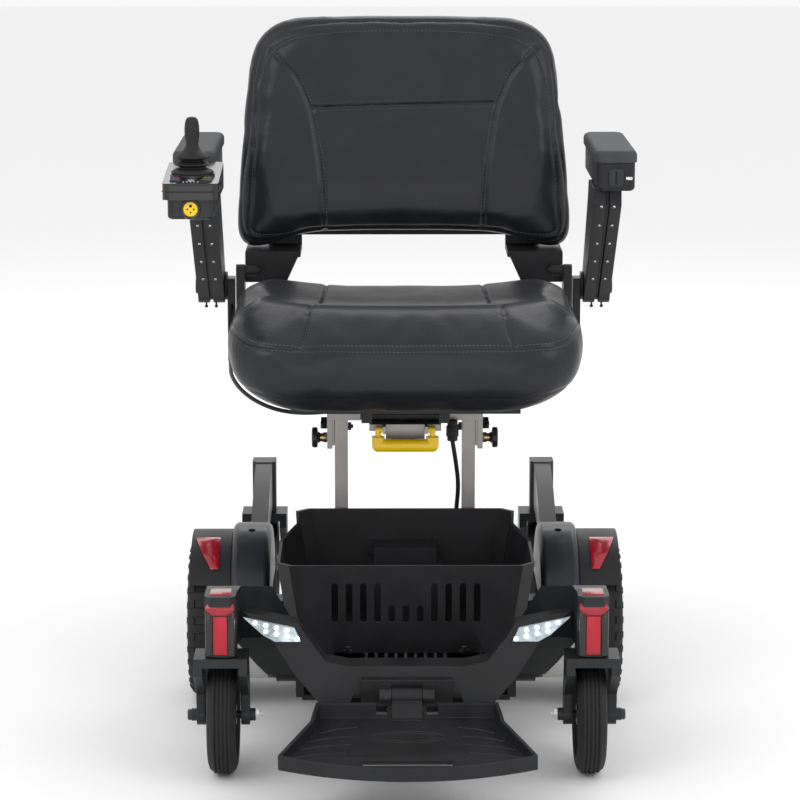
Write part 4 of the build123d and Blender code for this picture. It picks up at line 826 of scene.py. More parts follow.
@dataclass
class DriveTyre:
    """A block-tread tyre on a drive wheel."""

    radius: float = 0.110
    half: float = 0.029
    centre_x: float = 0.2653
    axle: Flat = (0.038, 0.110)
    steps: int = 60

    def build(self, shop: Workshop) -> None:
        """Make both tyres and raise their blocks."""
        for name, side in SIDES.items():
            r, h = self.radius - 0.0030, self.half
            band = [(r - 0.0455, -h + 0.010), (r - 0.043, -h + 0.004), (r - 0.034, -h + 0.0005),
                    (r - 0.022, -h), (r - 0.012, -h + 0.0015), (r - 0.005, -h + 0.006),
                    (r - 0.0015, -h + 0.012), (r - 0.0004, -0.0085), (r, -0.003), (r, 0.003),
                    (r - 0.0004, 0.0085), (r - 0.0015, h - 0.012), (r - 0.005, h - 0.006),
                    (r - 0.012, h - 0.0015), (r - 0.022, h), (r - 0.034, h - 0.0005),
                    (r - 0.043, h - 0.004), (r - 0.0455, h - 0.010), (r - 0.0455, -h + 0.010)]
            centre = (side * self.centre_x, *self.axle)
            piece = spun(f"tyre_{name}", band, centre, (1, 0, 0), self.steps)
            self._blocks(piece, centre)
            smooth(piece, 30)
            shop.settle(piece, f"drive_wheel_{name}", TYRE, "tyre_rubber", f"drive_tyre_{name}")

    def _blocks(self, piece: bpy.types.Object, centre: Point) -> None:
        """Inset and lift alternate tread faces into blocks."""
        for row, lift in (("middle", 0.0028), ("shoulder", 0.0022)):
            for polygon in piece.data.polygons:
                polygon.select = False
            for edge in piece.data.edges:
                edge.select = False
            for vertex in piece.data.vertices:
                vertex.select = False
            for polygon in piece.data.polygons:
                spot = polygon.center - Vector(centre)
                reach = math.hypot(spot.y, spot.z)
                turn = math.atan2(spot.z, spot.y) / (2 * math.pi) * self.steps
                step = int(math.floor(turn + 0.01)) % self.steps
                out = abs(spot.x)
                if row == "middle":
                    chosen = reach > self.radius - 0.006 and out < 0.0175
                    chosen = chosen and (step + (1 if spot.x > 0 else 0)) % 2 == 0
                else:
                    chosen = self.radius - 0.013 < reach < self.radius - 0.003
                    chosen = chosen and 0.0175 < out < 0.0285 and step % 2 == 0
                polygon.select = chosen
            alone(piece)
            bpy.ops.object.mode_set(mode="EDIT")
            bpy.ops.mesh.select_mode(type="FACE")
            bpy.ops.mesh.inset(thickness=0.0009, depth=lift)
            bpy.ops.object.mode_set(mode="OBJECT")


@dataclass
class CasterWheel:
    """A ribbed solid tyre on a disc hub with five rib ends on each face."""

    radius: float = 0.075
    half: float = 0.0185

    def build(self, shop: Workshop, end: str, name: str, centre: Point) -> None:
        """Make one wheel.

        Args:
            shop: the workshop.
            end: "front" or "rear".
            name: "left" or "right".
            centre: the wheel's centre.
        """
        r, h = self.radius, self.half
        band = [(r - 0.0215, -h + 0.004), (r - 0.019, -h + 0.0008), (r - 0.012, -h),
                (r - 0.006, -h + 0.0022)]
        for k in range(5):
            a = -0.0115 + k * 0.0049
            crown = r - 0.0012 * (abs(a + 0.0017) / 0.0115) ** 2
            band += [(crown - 0.0014, a), (crown, a + 0.0006), (crown, a + 0.0029),
                     (crown - 0.0014, a + 0.0035)]
        band += [(r - 0.006, h - 0.0022), (r - 0.012, h), (r - 0.019, h - 0.0008),
                 (r - 0.0215, h - 0.004), (r - 0.0215, -h + 0.004)]
        tyre = spun(f"{end}_caster_tyre_{name}", band, centre, (1, 0, 0), 72)
        node = f"{end}_caster_wheel_{name}"
        shop.settle(tyre, shop.body[node], TYRE, shop.slots[node], node)
        disc = [(0.006, -0.0165), (0.0125, -0.0165), (0.0135, -0.0150), (0.0140, -0.0075),
                (0.036, -0.0050), (0.044, -0.0075), (0.050, -0.0125), (0.0538, -0.0130),
                (0.0538, 0.0130), (0.050, 0.0125), (0.044, 0.0075), (0.036, 0.0050),
                (0.0140, 0.0075), (0.0135, 0.0150), (0.0125, 0.0165), (0.006, 0.0165),
                (0.006, -0.0165)]
        parts = [spun("disc", disc, centre, (1, 0, 0), 60)]
        for face in (-1, 1):
            for k in range(5):
                turn = 2 * math.pi * k / 5
                spot = (centre[0] + face * 0.0052, centre[1] + 0.027 * math.cos(turn),
                        centre[2] + 0.027 * math.sin(turn))
                parts.append(screw("rib_end", spot, (face, 0, 0), 0.0042))
        hub = joined(f"{end}_caster_hub_{name}", parts)
        shop.settle(hub, shop.body[node], SMOOTH, shop.slots[node])


@dataclass
class Cord:
    """A round lead along its route's control points."""

    name: str
    node: str
    diameter: float
    length: float
    points: list[Point]

    def build(self, shop: Workshop, with_pieces: list | None = None) -> bpy.types.Object:
        """Args:
            shop: the workshop.
            with_pieces: separate pieces on the lead; not used.

        Returns:
            The lead.
        """
        data = bpy.data.curves.new(self.name, "CURVE")
        data.dimensions = "3D"
        data.bevel_depth = self.diameter / 2
        data.bevel_resolution = 5
        data.resolution_u = 14
        data.use_fill_caps = True
        spline = data.splines.new("NURBS")
        spline.points.add(len(self.points) - 1)
        for knot, place in zip(spline.points, self.points):
            knot.co = (*place, 1)
        spline.order_u = 3
        spline.use_endpoint_u = True
        piece = bpy.data.objects.new(self.name, data)
        bpy.context.scene.collection.objects.link(piece)
        shop.settle_curve(piece, self.node)
        return piece




def slab(name: str, outline: list[Flat], frame: tuple[Point, Point, Point], depth: float,
         ease: float = 0.0008) -> bpy.types.Object:
    """Extrude a flat outline into a plate with eased edges.

    Args:
        name: the piece's name.
        outline: (u, v) points round the outline.
        frame: the plane's origin and its u and v directions.
        depth: how far it is extruded along u x v.
        ease: the eased edge's width.

    Returns:
        The piece.
    """
    origin, u, v = (Vector(part) for part in frame)
    verts = [origin + u * a + v * b for a, b in outline]
    piece = from_mesh(name, verts, [tuple(range(len(verts)))])
    alone(piece)
    bpy.ops.object.mode_set(mode="EDIT")
    bpy.ops.mesh.select_all(action="SELECT")
    move = u.cross(v).normalized() * depth
    bpy.ops.mesh.extrude_region_move(TRANSFORM_OT_translate={"value": move})
    bpy.ops.mesh.select_all(action="SELECT")
    bpy.ops.mesh.normals_make_consistent(inside=False)
    if ease:
        bpy.ops.mesh.bevel(offset=ease, segments=2, affect="EDGES", clamp_overlap=True)
    bpy.ops.object.mode_set(mode="OBJECT")
    smooth(piece, 40)
    return piece


def tube(name: str, points: list, radius: float, closed: bool = False) -> bpy.types.Object:
    """Sweep a round section along a line as a mesh.

    Args:
        name: the piece's name.
        points: the line's points.
        radius: the section's radius.
        closed: whether the line is a loop.

    Returns:
        The piece.
    """
    data = bpy.data.curves.new(name, "CURVE")
    data.dimensions = "3D"
    data.bevel_depth, data.bevel_resolution = radius, 2
    data.use_fill_caps = True
    spline = data.splines.new("POLY")
    spline.points.add(len(points) - 1)
    for knot, place in zip(spline.points, points):
        knot.co = (*place, 1)
    spline.use_cyclic_u = closed
    piece = bpy.data.objects.new(name, data)
    bpy.context.scene.collection.objects.link(piece)
    alone(piece)
    bpy.ops.object.convert(target="MESH")
    piece = bpy.context.object
    smooth(piece, 60)
    return piece


def circle(centre: Flat, radius: float, count: int, squeeze: float = 1.0) -> list[Flat]:
    """Return points round a circle or an oval."""
    turns = [2 * math.pi * k / count for k in range(count)]
    return [(centre[0] + radius * math.cos(t), centre[1] + radius * squeeze * math.sin(t))
            for t in turns]


class Surface:
    """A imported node's surface, for laying fine pieces on it."""

    def __init__(self, node: bpy.types.Object) -> None:
        """Keep the node's surface in the chair's frame."""
        verts = [node.matrix_world @ v.co for v in node.data.vertices]
        self.tree = BVHTree.FromPolygons(verts, [tuple(p.vertices) for p in node.data.polygons])

    def hit(self, start: Point, way: Point) -> tuple[Vector, Vector] | None:
        """Return where a ray meets the surface, and the normal there."""
        place, normal, _, _ = self.tree.ray_cast(Vector(start), Vector(way))
        if place is None:
            return None
        return place, normal if normal.dot(Vector(way)) < 0 else -normal

    def bead(self, name: str, points: list[Point], way: Point, radius: float,
             closed: bool = False, sink: float = 0.5) -> bpy.types.Object | None:
        """Lay a moulded bead along a line cast onto the surface.

        Args:
            name: the piece's name.
            points: the line's points, off the surface.
            way: the direction in which they are cast.
            radius: the bead's radius.
            closed: whether it is a loop.
            sink: how much of its radius lies under the surface.

        Returns:
            The bead, or nothing where the rays miss.
        """
        line = []
        for point in smooth_line(points, 10, closed):
            found = self.hit(point, way)
            if found and (not line or (found[0] - line[-1]).length < 0.03):
                line.append(found[0] - found[1] * radius * sink)
        return tube(name, line, radius, closed) if len(line) > 2 else None


@dataclass
class FenderTrims:
    """Red trapezoid inlays on the drive fenders."""

    def build(self, shop: Workshop) -> None:
        """Cut each inlay to its tapered outline and ease it."""
        piece = copy_of(shop.nodes["fender_trims"], "fender_inlays")
        for side in SIDES.values():
            edge, lower = Vector((side * 0.2845, 0, 0.2300)), Vector((side * 0.2590, 0, 0.1950))
            run = lower - edge
            outward = Vector((run.z, 0, -run.x)).normalized()
            if outward.x * side < 0:
                outward.negate()
            bm = bmesh.new()
            bm.from_mesh(piece.data)
            near = [v for v in bm.verts if v.co.x * side > 0]
            faces = [f for f in bm.faces if f.calc_center_median().x * side > 0]
            edges = [e for e in bm.edges if e.verts[0].co.x * side > 0]
            cut = bmesh.ops.bisect_plane(bm, geom=near + edges + faces, plane_co=edge,
                                         plane_no=outward, clear_outer=True)
            rims = [e for e in cut["geom_cut"] if isinstance(e, bmesh.types.BMEdge)]
            if rims:
                bmesh.ops.holes_fill(bm, edges=rims, sides=0)
            bm.to_mesh(piece.data)
            bm.free()
        ease = piece.modifiers.new("ease", "BEVEL")
        ease.width, ease.segments = 0.0006, 2
        apply_all(piece)
        smooth(piece)
        shop.settle(piece, "chassis", RED, "red_gloss", "fender_trims")


@dataclass
class Barrels:
    """Red caps and strips on the front caster barrels."""

    x: float = 0.232
    y: float = -0.346
    front: float = -0.3655

    def build(self, shop: Workshop) -> None:
        """Make each barrel's cap, strip and dark edge frames."""
        for name, side in SIDES.items():
            body = f"front_arm_{name}_body"
            x = side * self.x
            f = self.front
            outline = [(f - 0.0015, 0.2195), (f - 0.0015, 0.2290), (f + 0.0110, 0.2445),
                       (f + 0.0400, 0.2445), (f + 0.0400, 0.2400), (f + 0.0090, 0.2400)]
            cap = slab(f"barrel_cap_{name}", outline,
                       ((x - 0.0185, 0, 0), (0, 1, 0), (0, 0, 1)), 0.037, 0.0012)
            for vertex in cap.data.vertices:
                rise = max(0.0, (vertex.co.z - 0.229) / 0.0155)
                drop = max(0.0, (0.229 - vertex.co.z) / 0.0095)
                vertex.co.x = x + (vertex.co.x - x) * (1 - 0.30 * rise - 0.22 * drop)
            shop.settle(cap, body, RED, "red_gloss")
            strip = slab(f"barrel_strip_{name}", [(-0.0088, 0.1695), (0.0088, 0.1695),
                                                   (0.0088, 0.2185), (-0.0088, 0.2185)],
                         ((x, f - 0.0016, 0), (1, 0, 0), (0, 0, 1)), -0.003, 0.0008)
            shop.settle(strip, body, RED_FLAT, "red_gloss")
            rails = []
            for edge in (-1, 1):
                a, b = sorted((edge * 0.0098, edge * 0.0182))
                rails.append(slab("rail", [(a, 0.1675), (b, 0.1675), (b, 0.2265), (a, 0.2195)]
                                  if edge > 0 else
                                  [(a, 0.1675), (b, 0.1675), (b, 0.2195), (a, 0.2265)],
                                  ((x, f - 0.0026, 0), (1, 0, 0), (0, 0, 1)), -0.0035, 0.0010))
            shop.settle(joined(f"barrel_rails_{name}", rails), body, GLOSS, "arm_paint")


@dataclass
class Lamps:
    """The headlights' rows of diodes."""

    def build(self, shop: Workshop) -> None:
        """Lay two rows of diodes on each lens."""
        lens = Surface(shop.nodes["headlight_lenses"])
        for name, side in SIDES.items():
            dots = []
            for k in range(6):
                share = k / 5
                for row, lift in ((0, 0.0), (1, -0.0075)):
                    start = (side * (0.190 - 0.066 * share), -0.45, 0.2005 - 0.0155 * share + lift)
                    found = lens.hit(start, (0, 1, 0))
                    if found:
                        spot = found[0] + found[1] * 0.0002
                        dots.append(spun(f"diode_{k}{row}", [(0.0, 0.0009), (0.0018, 0.0007),
                                                             (0.0026, 0.0)],
                                         spot, found[1], 12))
            if dots:
                piece = joined(f"diodes_{name}", dots)
                shop.settle(piece, "chassis", DIODE, "lens")


@dataclass
class Controller:
    """The controller's keys, lights, socket, boot and stick."""

    x: float = -0.276
    stick_y: float = -0.097

    @staticmethod
    def deck(y: float) -> float:
        """Return the sloping deck's height at a place."""
        return 0.732 + (y + 0.152) / 0.144 * 0.012

    def build(self, shop: Workshop) -> None:
        """Make every fitting of the controller."""
        self._lights(shop)
        self._keys(shop)
        self._socket(shop)
        self._boot(shop)
        self._grip(shop)

    def _lights(self, shop: Workshop) -> None:
        """Set five small lights, a round emblem and a waist line."""
        dots = []
        for k in range(5):
            y = -0.1405
            dots.append(screw("dot", (self.x - 0.0092 + 0.0046 * k, y, self.deck(y)), (0, -0.08, 1),
                              0.00105))
        shop.settle(joined("charge_lights", dots), "arm_right", ICON_PALE, "button_grey")
        y = -0.1300
        rings = []
        for radius in (0.0042, 0.0022):
            points = [(a, b, self.deck(b)) for a, b in circle((self.x, y), radius, 28)]
            rings.append(tube("ring", points, 0.00035, True))
        shop.settle(joined("round_emblem", rings), "arm_right", ICON_PALE, "button_grey")
        half = 0.0362
        line = [(-half, -0.09), (-half, -0.1445), (-0.029, -0.1522), (0.029, -0.1522),
                (half, -0.1445), (half, -0.09)]
        seam = tube("case_waist", [(self.x + a, b, 0.7215) for a, b in line], 0.0008)
        shop.settle(seam, "arm_right", PLASTIC, "gloss_case")

    def _keys(self, shop: Workshop) -> None:
        """Print a coloured sign on each of the four keys."""
        # The signs' finishes add a painted glow to the printed signs.
        signs = {"horn": ICON_BLUE, "speed": ICON_RED, "power": ICON_RED, "lights": ICON_GREEN}
        for name, finish in signs.items():
            step = -1 if name in ("horn", "speed") else 1
            x = self.x + step * 0.020
            y = -0.131 if name in ("horn", "power") else -0.119
            z = self.deck(y) + 0.0020
            bars = []
            for k, width in enumerate((0.0044, 0.0028)):
                low = (x - 0.0040 + 0.0052 * k, y - 0.0011, z - 0.0002)
                high = (low[0] + width, y + 0.0011, z + 0.0003)
                bars.append(eased_box("bar", low, high, 0.0002))
            shop.settle(joined(f"sign_{name}", bars), f"button_{name}_body", finish, "button_grey")

    def _socket(self, shop: Workshop) -> None:
        """Make the charging socket: a black ring and a yellow disc with pits."""
        face, z = -0.145, 0.6985
        disc = spun("socket_disc", [(0.0, 0.0006), (0.0070, 0.0006), (0.0078, 0.0012),
                                    (0.0090, 0.0014), (0.0098, 0.0006), (0.0098, -0.001)],
                    (self.x, face, z), (0, -1, 0), 32)
        shop.settle(disc, "arm_right", YELLOW, "yellow_socket", "charge_socket")
        ring = spun("socket_ring", [(0.0097, -0.001), (0.0098, 0.0026), (0.0108, 0.0031),
                                    (0.0128, 0.0026), (0.0134, 0.0012), (0.0134, -0.001)],
                    (self.x, face, z), (0, -1, 0), 32)
        shop.settle(ring, "arm_right", GLOSS, "gloss_case")
        # The pits are dark rubber discs laid on the yellow face: painted shade standing for the
        # socket's holes.
        pits = []
        for a, b, r in ((0, 0.0042, 0.0022), (0, -0.0042, 0.0013), (0.0042, 0, 0.0013),
                        (-0.0042, 0, 0.0013)):
            pits.append(spun("pit", [(0.0, 0.0007), (r * 0.9, 0.00075), (r, 0.0005)],
                             (self.x + a, face, z + b), (0, -1, 0), 14))
        shop.settle(joined("socket_pits", pits), "arm_right", RUBBER, "gloss_case")

    def _boot(self, shop: Workshop) -> None:
        """Make the pleated rubber boot and hide the imported one."""
        base = 0.7390
        outline = [(0.0270, base), (0.0272, base + 0.0030), (0.0225, base + 0.0062),
                   (0.0172, base + 0.0078), (0.0190, base + 0.0102), (0.0232, base + 0.0122),
                   (0.0190, base + 0.0150), (0.0138, base + 0.0166), (0.0160, base + 0.0185),
                   (0.0214, base + 0.0205), (0.0222, base + 0.0222), (0.0180, base + 0.0262),
                   (0.0125, base + 0.0300), (0.0092, base + 0.0340), (0.0078, base + 0.0400)]
        fine = smooth_line([(r, z, 0) for r, z in outline], 4)
        smooth_outline = [(p.x, p.y - base) for p in fine]
        boot = spun("pleated_boot", smooth_outline, (self.x, self.stick_y, base), (0, 0, 1), 56)
        shop.dress(boot, RUBBER)
        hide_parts("joystick_boot")
        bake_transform(boot)

    def _grip(self, shop: Workshop) -> None:
        """Make the stick's soft barrel-shaped grip."""
        profile = [(0.0, 0.8125), (0.0040, 0.8120), (0.0070, 0.8100), (0.0086, 0.8060),
                   (0.0094, 0.8000), (0.0097, 0.7940), (0.0093, 0.7870), (0.0084, 0.7800),
                   (0.0078, 0.7740), (0.0040, 0.7730), (0.0040, 0.7262), (0.0, 0.7260)]
        line = [(max(0.0, p.x), p.y) for p in smooth_line([(r, z, 0) for r, z in profile], 4)]
        grip = spun("stick_grip", line, (self.x, self.stick_y, 0), (0, 0, 1), 40)
        shop.settle(grip, "stick", RUBBER, "boot_rubber", "joystick_knob")


@dataclass
class Plungers:
    """Spring plungers, bolts and nuts round the seat posts' tops."""

    y: float = 0.038
    z: float = 0.362

    def build(self, shop: Workshop) -> None:
        """Make each side's plunger, side bolts and inner nut."""
        for name, side in SIDES.items():
            body = f"plunger_{name}_body"
            grip = [(0.0, 0.1262), (0.0105, 0.1268), (0.0136, 0.1258), (0.0140, 0.1240),
                    (0.0140, 0.1206), (0.0132, 0.1190), (0.0080, 0.1180), (0.0060, 0.1150)]
            knob = spun(f"plunger_knob_{name}", grip, (0, self.y, self.z), (side, 0, 0), 36)
            shop.settle(knob, body, SMOOTH, "brass_fitting", f"plunger_{name}")
            pin = [(0.0, 0.0930), (0.0036, 0.0932), (0.0040, 0.0940), (0.0040, 0.1058),
                   (0.0066, 0.1060), (0.0070, 0.1066), (0.0070, 0.1110), (0.0058, 0.1114),
                   (0.0058, 0.1170), (0.0, 0.1172)]
            barrel = spun(f"plunger_barrel_{name}", pin, (0, self.y, self.z), (side, 0, 0), 32)
            shop.settle(barrel, body, BRASS, "brass_fitting")
            bolts = []
            for offset in (-0.013, 0.013):
                bolts.append(spun("bolt", [(0.0, 0.1142), (0.0052, 0.1144), (0.0061, 0.1134),
                                           (0.0061, 0.1064), (0.0052, 0.1053)],
                                  (0, self.y + offset, 0.382), (side, 0, 0), 6))
            shop.settle(joined(f"side_bolts_{name}", bolts), "seat_lift", GLOSS, "post_steel")
            nut = spun(f"inner_nut_{name}", [(0.0, 0.0700), (0.0028, 0.0702), (0.0030, 0.0725),
                                             (0.0058, 0.0727), (0.0062, 0.0735), (0.0062, 0.0772),
                                             (0.0, 0.0775)],
                       (0, 0.030, 0.3790), (side, 0, 0), 6)
            shop.settle(nut, "chassis", CHROME, "post_steel")


@dataclass
class AxleNuts:
    """Axle bolts and nuts on the caster forks."""

    def build(self, shop: Workshop) -> None:
        """Make a bright inner nut and a dark outer head on each fork."""
        spots = (("front", 0.232, -0.308), ("rear", 0.208, 0.486))
        for end, x, y in spots:
            for name, side in SIDES.items():
                body = f"{end}_swivel_{name}"
                inner = [(0.0, 0.0490), (0.0030, 0.0490), (0.0034, 0.0465), (0.0068, 0.0463),
                         (0.0072, 0.0452), (0.0072, 0.0408), (0.0, 0.0405)]
                nut = spun(f"{end}_nut_{name}", inner, (side * x, y, 0.075), (-side, 0, 0), 6)
                shop.settle(nut, body, CHROME, "arm_paint")
                outer = [(0.0, 0.0455), (0.0060, 0.0455), (0.0072, 0.0446), (0.0074, 0.0405),
                         (0.0, 0.0403)]
                head = spun(f"{end}_bolt_{name}", outer, (side * x, y, 0.075), (side, 0, 0), 24)
                shop.settle(head, body, GLOSS, "arm_paint")


@dataclass
class Armrests:
    """Screws and pins on the arm posts, and the latch on the left pad's front."""

    def build(self, shop: Workshop) -> None:
        """Make the screws, the pins and the latch."""
        for name, side in SIDES.items():
            surface = Surface(shop.nodes[f"arm_post_{name}"])
            screws = []
            for k in range(5):
                for lane in (-0.0085, 0.0085):
                    start = (side * (0.2715 + lane), -0.2, 0.560 + 0.030 * k)
                    found = surface.hit(start, (0, 1, 0))
                    if found:
                        screws.append(screw("screw", found[0], found[1], 0.0021))
            if screws:
                shop.settle(joined(f"post_screws_{name}", screws), f"arm_{name}", CHROME,
                            "arm_plastic")
            pins = []
            for lane in (-0.006, 0.008):
                start = (side * (0.2715 + lane), 0.232, 0.40)
                found = surface.hit(start, (0, 0, 1))
                if found:
                    z = found[0].z
                    pins.append(spun("pin", [(0.0, -0.0075), (0.0022, -0.0070), (0.0026, -0.0050),
                                             (0.0014, -0.0035), (0.0014, 0.001)],
                                     (start[0], start[1], z), (0, 0, 1), 14))
            if pins:
                shop.settle(joined(f"post_pins_{name}", pins), f"arm_{name}", GLOSS, "arm_plastic")
        x, z = 0.2805, 0.7215
        cut = 0.0042
        w, h = 0.0100, 0.0125
        outline = [(-w, -h + cut), (-w + cut, -h), (w - cut, -h), (w, -h + cut), (w, h - cut),
                   (w - cut, h), (-w + cut, h), (-w, h - cut)]
        plate = slab("latch_plate", outline, ((x, 0.0002, z), (1, 0, 0), (0, 0, 1)), 0.0022, 0.0007)
        shop.settle(plate, "arm_left", SMOOTH, "arm_plastic")
        # A near-black strip on the latch plate stands for the slot's hollow: painted shade, not a
        # dark part.
        slot = slab("latch_slot_shade", [(-0.0013, -0.0085), (0.0013, -0.0085), (0.0013, 0.0085),
                                   (-0.0013, 0.0085)],
                    ((x, -0.0018, z), (1, 0, 0), (0, 0, 1)), 0.0008, 0.0002)
        shop.settle(slot, "arm_left", SLOT_SHADE, "arm_plastic")
        lever = eased_box("latch_lever", (x + 0.0125, -0.0030, z - 0.0030),
                          (x + 0.0215, 0.0010, z + 0.0015), 0.0010)
        shop.settle(lever, "arm_left", CHROME, "arm_plastic")


@dataclass
class Mouldings:
    """Ribs and recess lines on the footplate, and clips at the tub's foot."""

    def build(self, shop: Workshop) -> None:
        """Lay the footplate's ribs and the tub's clips."""
        self._plate(shop)
        self._tub(shop)

    @staticmethod
    def _plate(shop: Workshop) -> None:
        """Lay diagonal ribs and two framed recesses on the footplate."""
        surface = Surface(shop.nodes["footplate"])
        down = (0.0, 0.0, -1.0)
        beads = []
        for side in (1, -1):
            for k in range(4):
                y = -0.420 - 0.024 * k
                points = [(side * (0.062 + 0.004 * k), y, 0.3),
                          (side * (0.088 + 0.008 * k), y - 0.006, 0.3),
                          (side * (0.108 + 0.011 * k), y - 0.016, 0.3)]
                beads.append(surface.bead("rib", points, down, 0.0018))
        oval = [(a, b, 0.3) for a, b in circle((0, -0.447), 0.046, 16, 0.36)]
        beads.append(surface.bead("oval", oval, down, 0.0013, True))
        inner = [(a, b, 0.3) for a, b in circle((0, -0.447), 0.038, 16, 0.30)]
        beads.append(surface.bead("oval", inner, down, 0.0010, True))
        frame = [(-0.066, -0.508, 0.3), (0.066, -0.508, 0.3), (0.070, -0.513, 0.3),
                 (0.062, -0.534, 0.3), (-0.062, -0.534, 0.3), (-0.070, -0.513, 0.3)]
        beads.append(surface.bead("frame", frame, down, 0.0013, True))
        front = [(-0.136, -0.524, 0.3), (-0.07, -0.543, 0.3), (0.0, -0.549, 0.3),
                 (0.07, -0.543, 0.3), (0.136, -0.524, 0.3)]
        beads.append(surface.bead("front", front, down, 0.0012))
        beads = [bead for bead in beads if bead]
        shop.settle(joined("plate_ribs", beads), "footplate_body", PLASTIC, "black_plastic")

    @staticmethod
    def _tub(shop: Workshop) -> None:
        """Set two clips at the tub's foot."""
        clips = []
        for side in (1, -1):
            x = side * 0.0755
            clips.append(eased_box("clip", (x - 0.006, -0.2015, 0.1235),
                                   (x + 0.006, -0.1935, 0.1300), 0.0012))
            clips.append(eased_box("hook", (x - 0.0035, -0.2030, 0.1275),
                                   (x + 0.0035, -0.1955, 0.1345), 0.0010))
        shop.settle(joined("tub_clips", clips), "chassis", GLOSS, "black_plastic")


@dataclass
class Studio:
    """The floor, the soft lights and the camera."""

    camera_at: Point = (-0.0272, -4.0065, 1.2007)
    pitch: float = 0.1922
    yaw: float = 0.0051
    lens: float = 136.4

    def build(self) -> None:
        """Make the floor, world, lights and camera."""
        bpy.ops.mesh.primitive_plane_add(size=30, location=(0, 0, 0))
        floor = bpy.context.object
        floor.name = "floor"
        floor.data.materials.append(self._paint())
        world = bpy.data.worlds.new("studio")
        bpy.context.scene.world = world
        world.use_nodes = True
        world.node_tree.nodes["Background"].inputs["Color"].default_value = (1, 1, 1, 1)
        world.node_tree.nodes["Background"].inputs["Strength"].default_value = 0.95
        self._light("key", (-2.2, -2.6, 3.0), 2.0, 30)
        self._light("fill", (2.4, -2.2, 2.2), 1.8, 20)
        self._light("rim", (0.4, 2.6, 2.8), 2.4, 25)
        self._light("front", (0.0, -3.6, 0.7), 1.4, 5)
        data = bpy.data.cameras.new("camera")
        data.sensor_width, data.lens = 36.0, self.lens
        camera = bpy.data.objects.new("camera", data)
        bpy.context.scene.collection.objects.link(camera)
        camera.location = self.camera_at
        forward = Vector((math.sin(self.yaw) * math.cos(self.pitch),
                          math.cos(self.yaw) * math.cos(self.pitch), -math.sin(self.pitch)))
        camera.rotation_mode = "QUATERNION"
        camera.rotation_quaternion = forward.to_track_quat("-Z", "Y")
        bpy.context.scene.camera = camera
        bpy.context.scene.view_settings.view_transform = "Standard"

    @staticmethod
    def _paint() -> bpy.types.Material:
        """Return the floor's plain pale paint."""
        material = bpy.data.materials.new("floor_paint")
        material.use_nodes = True
        shader = material.node_tree.nodes["Principled BSDF"]
        shader.inputs["Base Color"].default_value = (0.92, 0.92, 0.92, 1)
        shader.inputs["Roughness"].default_value = 0.8
        return material

    @staticmethod
    def _light(name: str, place: Point, size: float, power: float) -> None:
        """Add a soft square light that looks at the chair."""
        data = bpy.data.lights.new(name, "AREA")
        data.size, data.energy = size, power
        lamp = bpy.data.objects.new(name, data)
        bpy.context.scene.collection.objects.link(lamp)
        lamp.location = place
        aim = Vector((0, 0, 0.45)) - Vector(place)
        lamp.rotation_euler = aim.to_track_quat("-Z", "Y").to_euler()


SHELLS = {
    "base_frame": POWDER, "battery_cover": PLASTIC, "gearboxes": ALUMINIUM, "motor_covers": SMOOTH,
    "fenders": PLASTIC, "rear_arms": CASTING, "front_tub": PLASTIC,
    "front_shroud": PLASTIC, "footplate": PLASTIC, "footplate_bracket": POWDER, "seat_posts": STEEL,
    "seat_bracket": STEEL, "swivel_plate": POWDER, "seat_frame": POWDER, "backrest_shell": PLASTIC,
    "release_handle": YELLOW, "controller_case": GLOSS, "controller_housing": SMOOTH,
}
SIDE_SHELLS = {
    "front_arm": CASTING, "front_fork": CASTING, "rear_fork": CASTING, "drive_rim": SMOOTH,
    "arm_slider": POWDER, "arm_post": PLASTIC, "pad_base": PLASTIC, "arm_pad": PAD,
}
PLAIN = {
    "battery_packs": RUBBER, "power_module": ALUMINIUM, "drive_motors": GLOSS,
    "headlight_lenses": LENS, "joystick_gimbal": BRASS,
    "button_horn": KEY, "button_lights": KEY, "button_power": KEY, "button_speed": KEY,
}
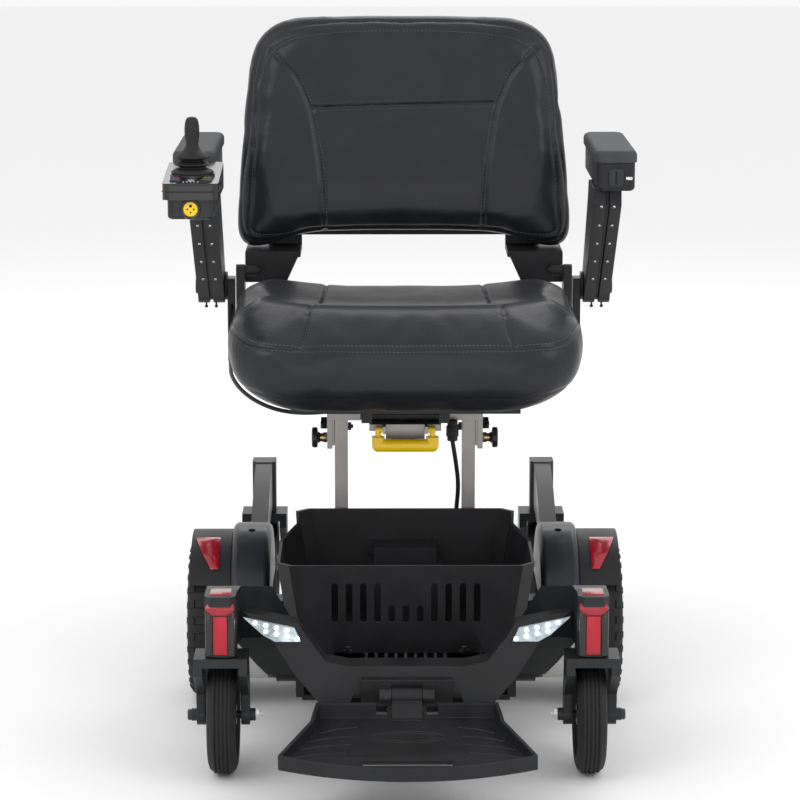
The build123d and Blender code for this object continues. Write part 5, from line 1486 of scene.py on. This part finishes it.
CABLE_ROUTE = [(0.064, 0.001, 0.365), (0.069, 0.005, 0.335), (0.073, 0.016, 0.300),
               (0.070, 0.027, 0.262), (0.067, 0.033, 0.222), (0.068, 0.037, 0.178),
               (0.070, 0.038, 0.137)]
LEAD_ROUTE = [(-0.2437, 0.2156, 0.514), (-0.245, 0.196, 0.500), (-0.244, 0.174, 0.482),
              (-0.242, 0.146, 0.466), (-0.240, 0.111, 0.455), (-0.238, 0.075, 0.450),
              (-0.236, 0.035, 0.453), (-0.231, -0.005, 0.451), (-0.219, -0.042, 0.443),
              (-0.198, -0.070, 0.433), (-0.170, -0.084, 0.424), (-0.138, -0.072, 0.417),
              (-0.098, -0.050, 0.415), (-0.058, -0.038, 0.417)]


def main() -> None:
    """Build the chair's looks in order."""
    logging.basicConfig(level=logging.INFO, format="%(message)s")
    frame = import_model()
    shop = Workshop(frame)
    Studio().build()
    plug = shop.refined("cable_plug", RUBBER)
    Cord("power_cable", "seat_cable", 0.006, 0.233, CABLE_ROUTE).build(shop, [plug])
    Cord("control_lead", "controller_lead", 0.0055, 0.466, LEAD_ROUTE).build(shop)
    for node, finish in SHELLS.items():
        shop.refined(node, finish)
    for stem, finish in SIDE_SHELLS.items():
        for name in SIDES:
            shop.refined(f"{stem}_{name}", finish)
    for node, finish in PLAIN.items():
        shop.coat_node(node, finish)
    BackCushion("back_cushion", "backrest_cushion", 0.005, 0.012, 10,
                ((-0.2355, 0.2415, 0.5925), (0.2355, 0.3437, 0.9145))).build(shop)
    SeatCushion("seat_cushion_cover", "seat_cushion", 0.0055, 0.010, 8,
                ((-0.2330, -0.1950, 0.4320), (0.2330, 0.2030, 0.5690))).build(shop)
    DriveTyre().build(shop)
    for name, side in SIDES.items():
        CasterWheel().build(shop, "front", name, (side * 0.232, -0.308, 0.075))
        CasterWheel().build(shop, "rear", name, (side * 0.208, 0.486, 0.075))
    for group in (FenderTrims(), Barrels(), Lamps(), Controller(), Plungers(), AxleNuts(),
                  Armrests(), Mouldings()):
        group.build(shop)


if __name__ == "__main__":
    main()
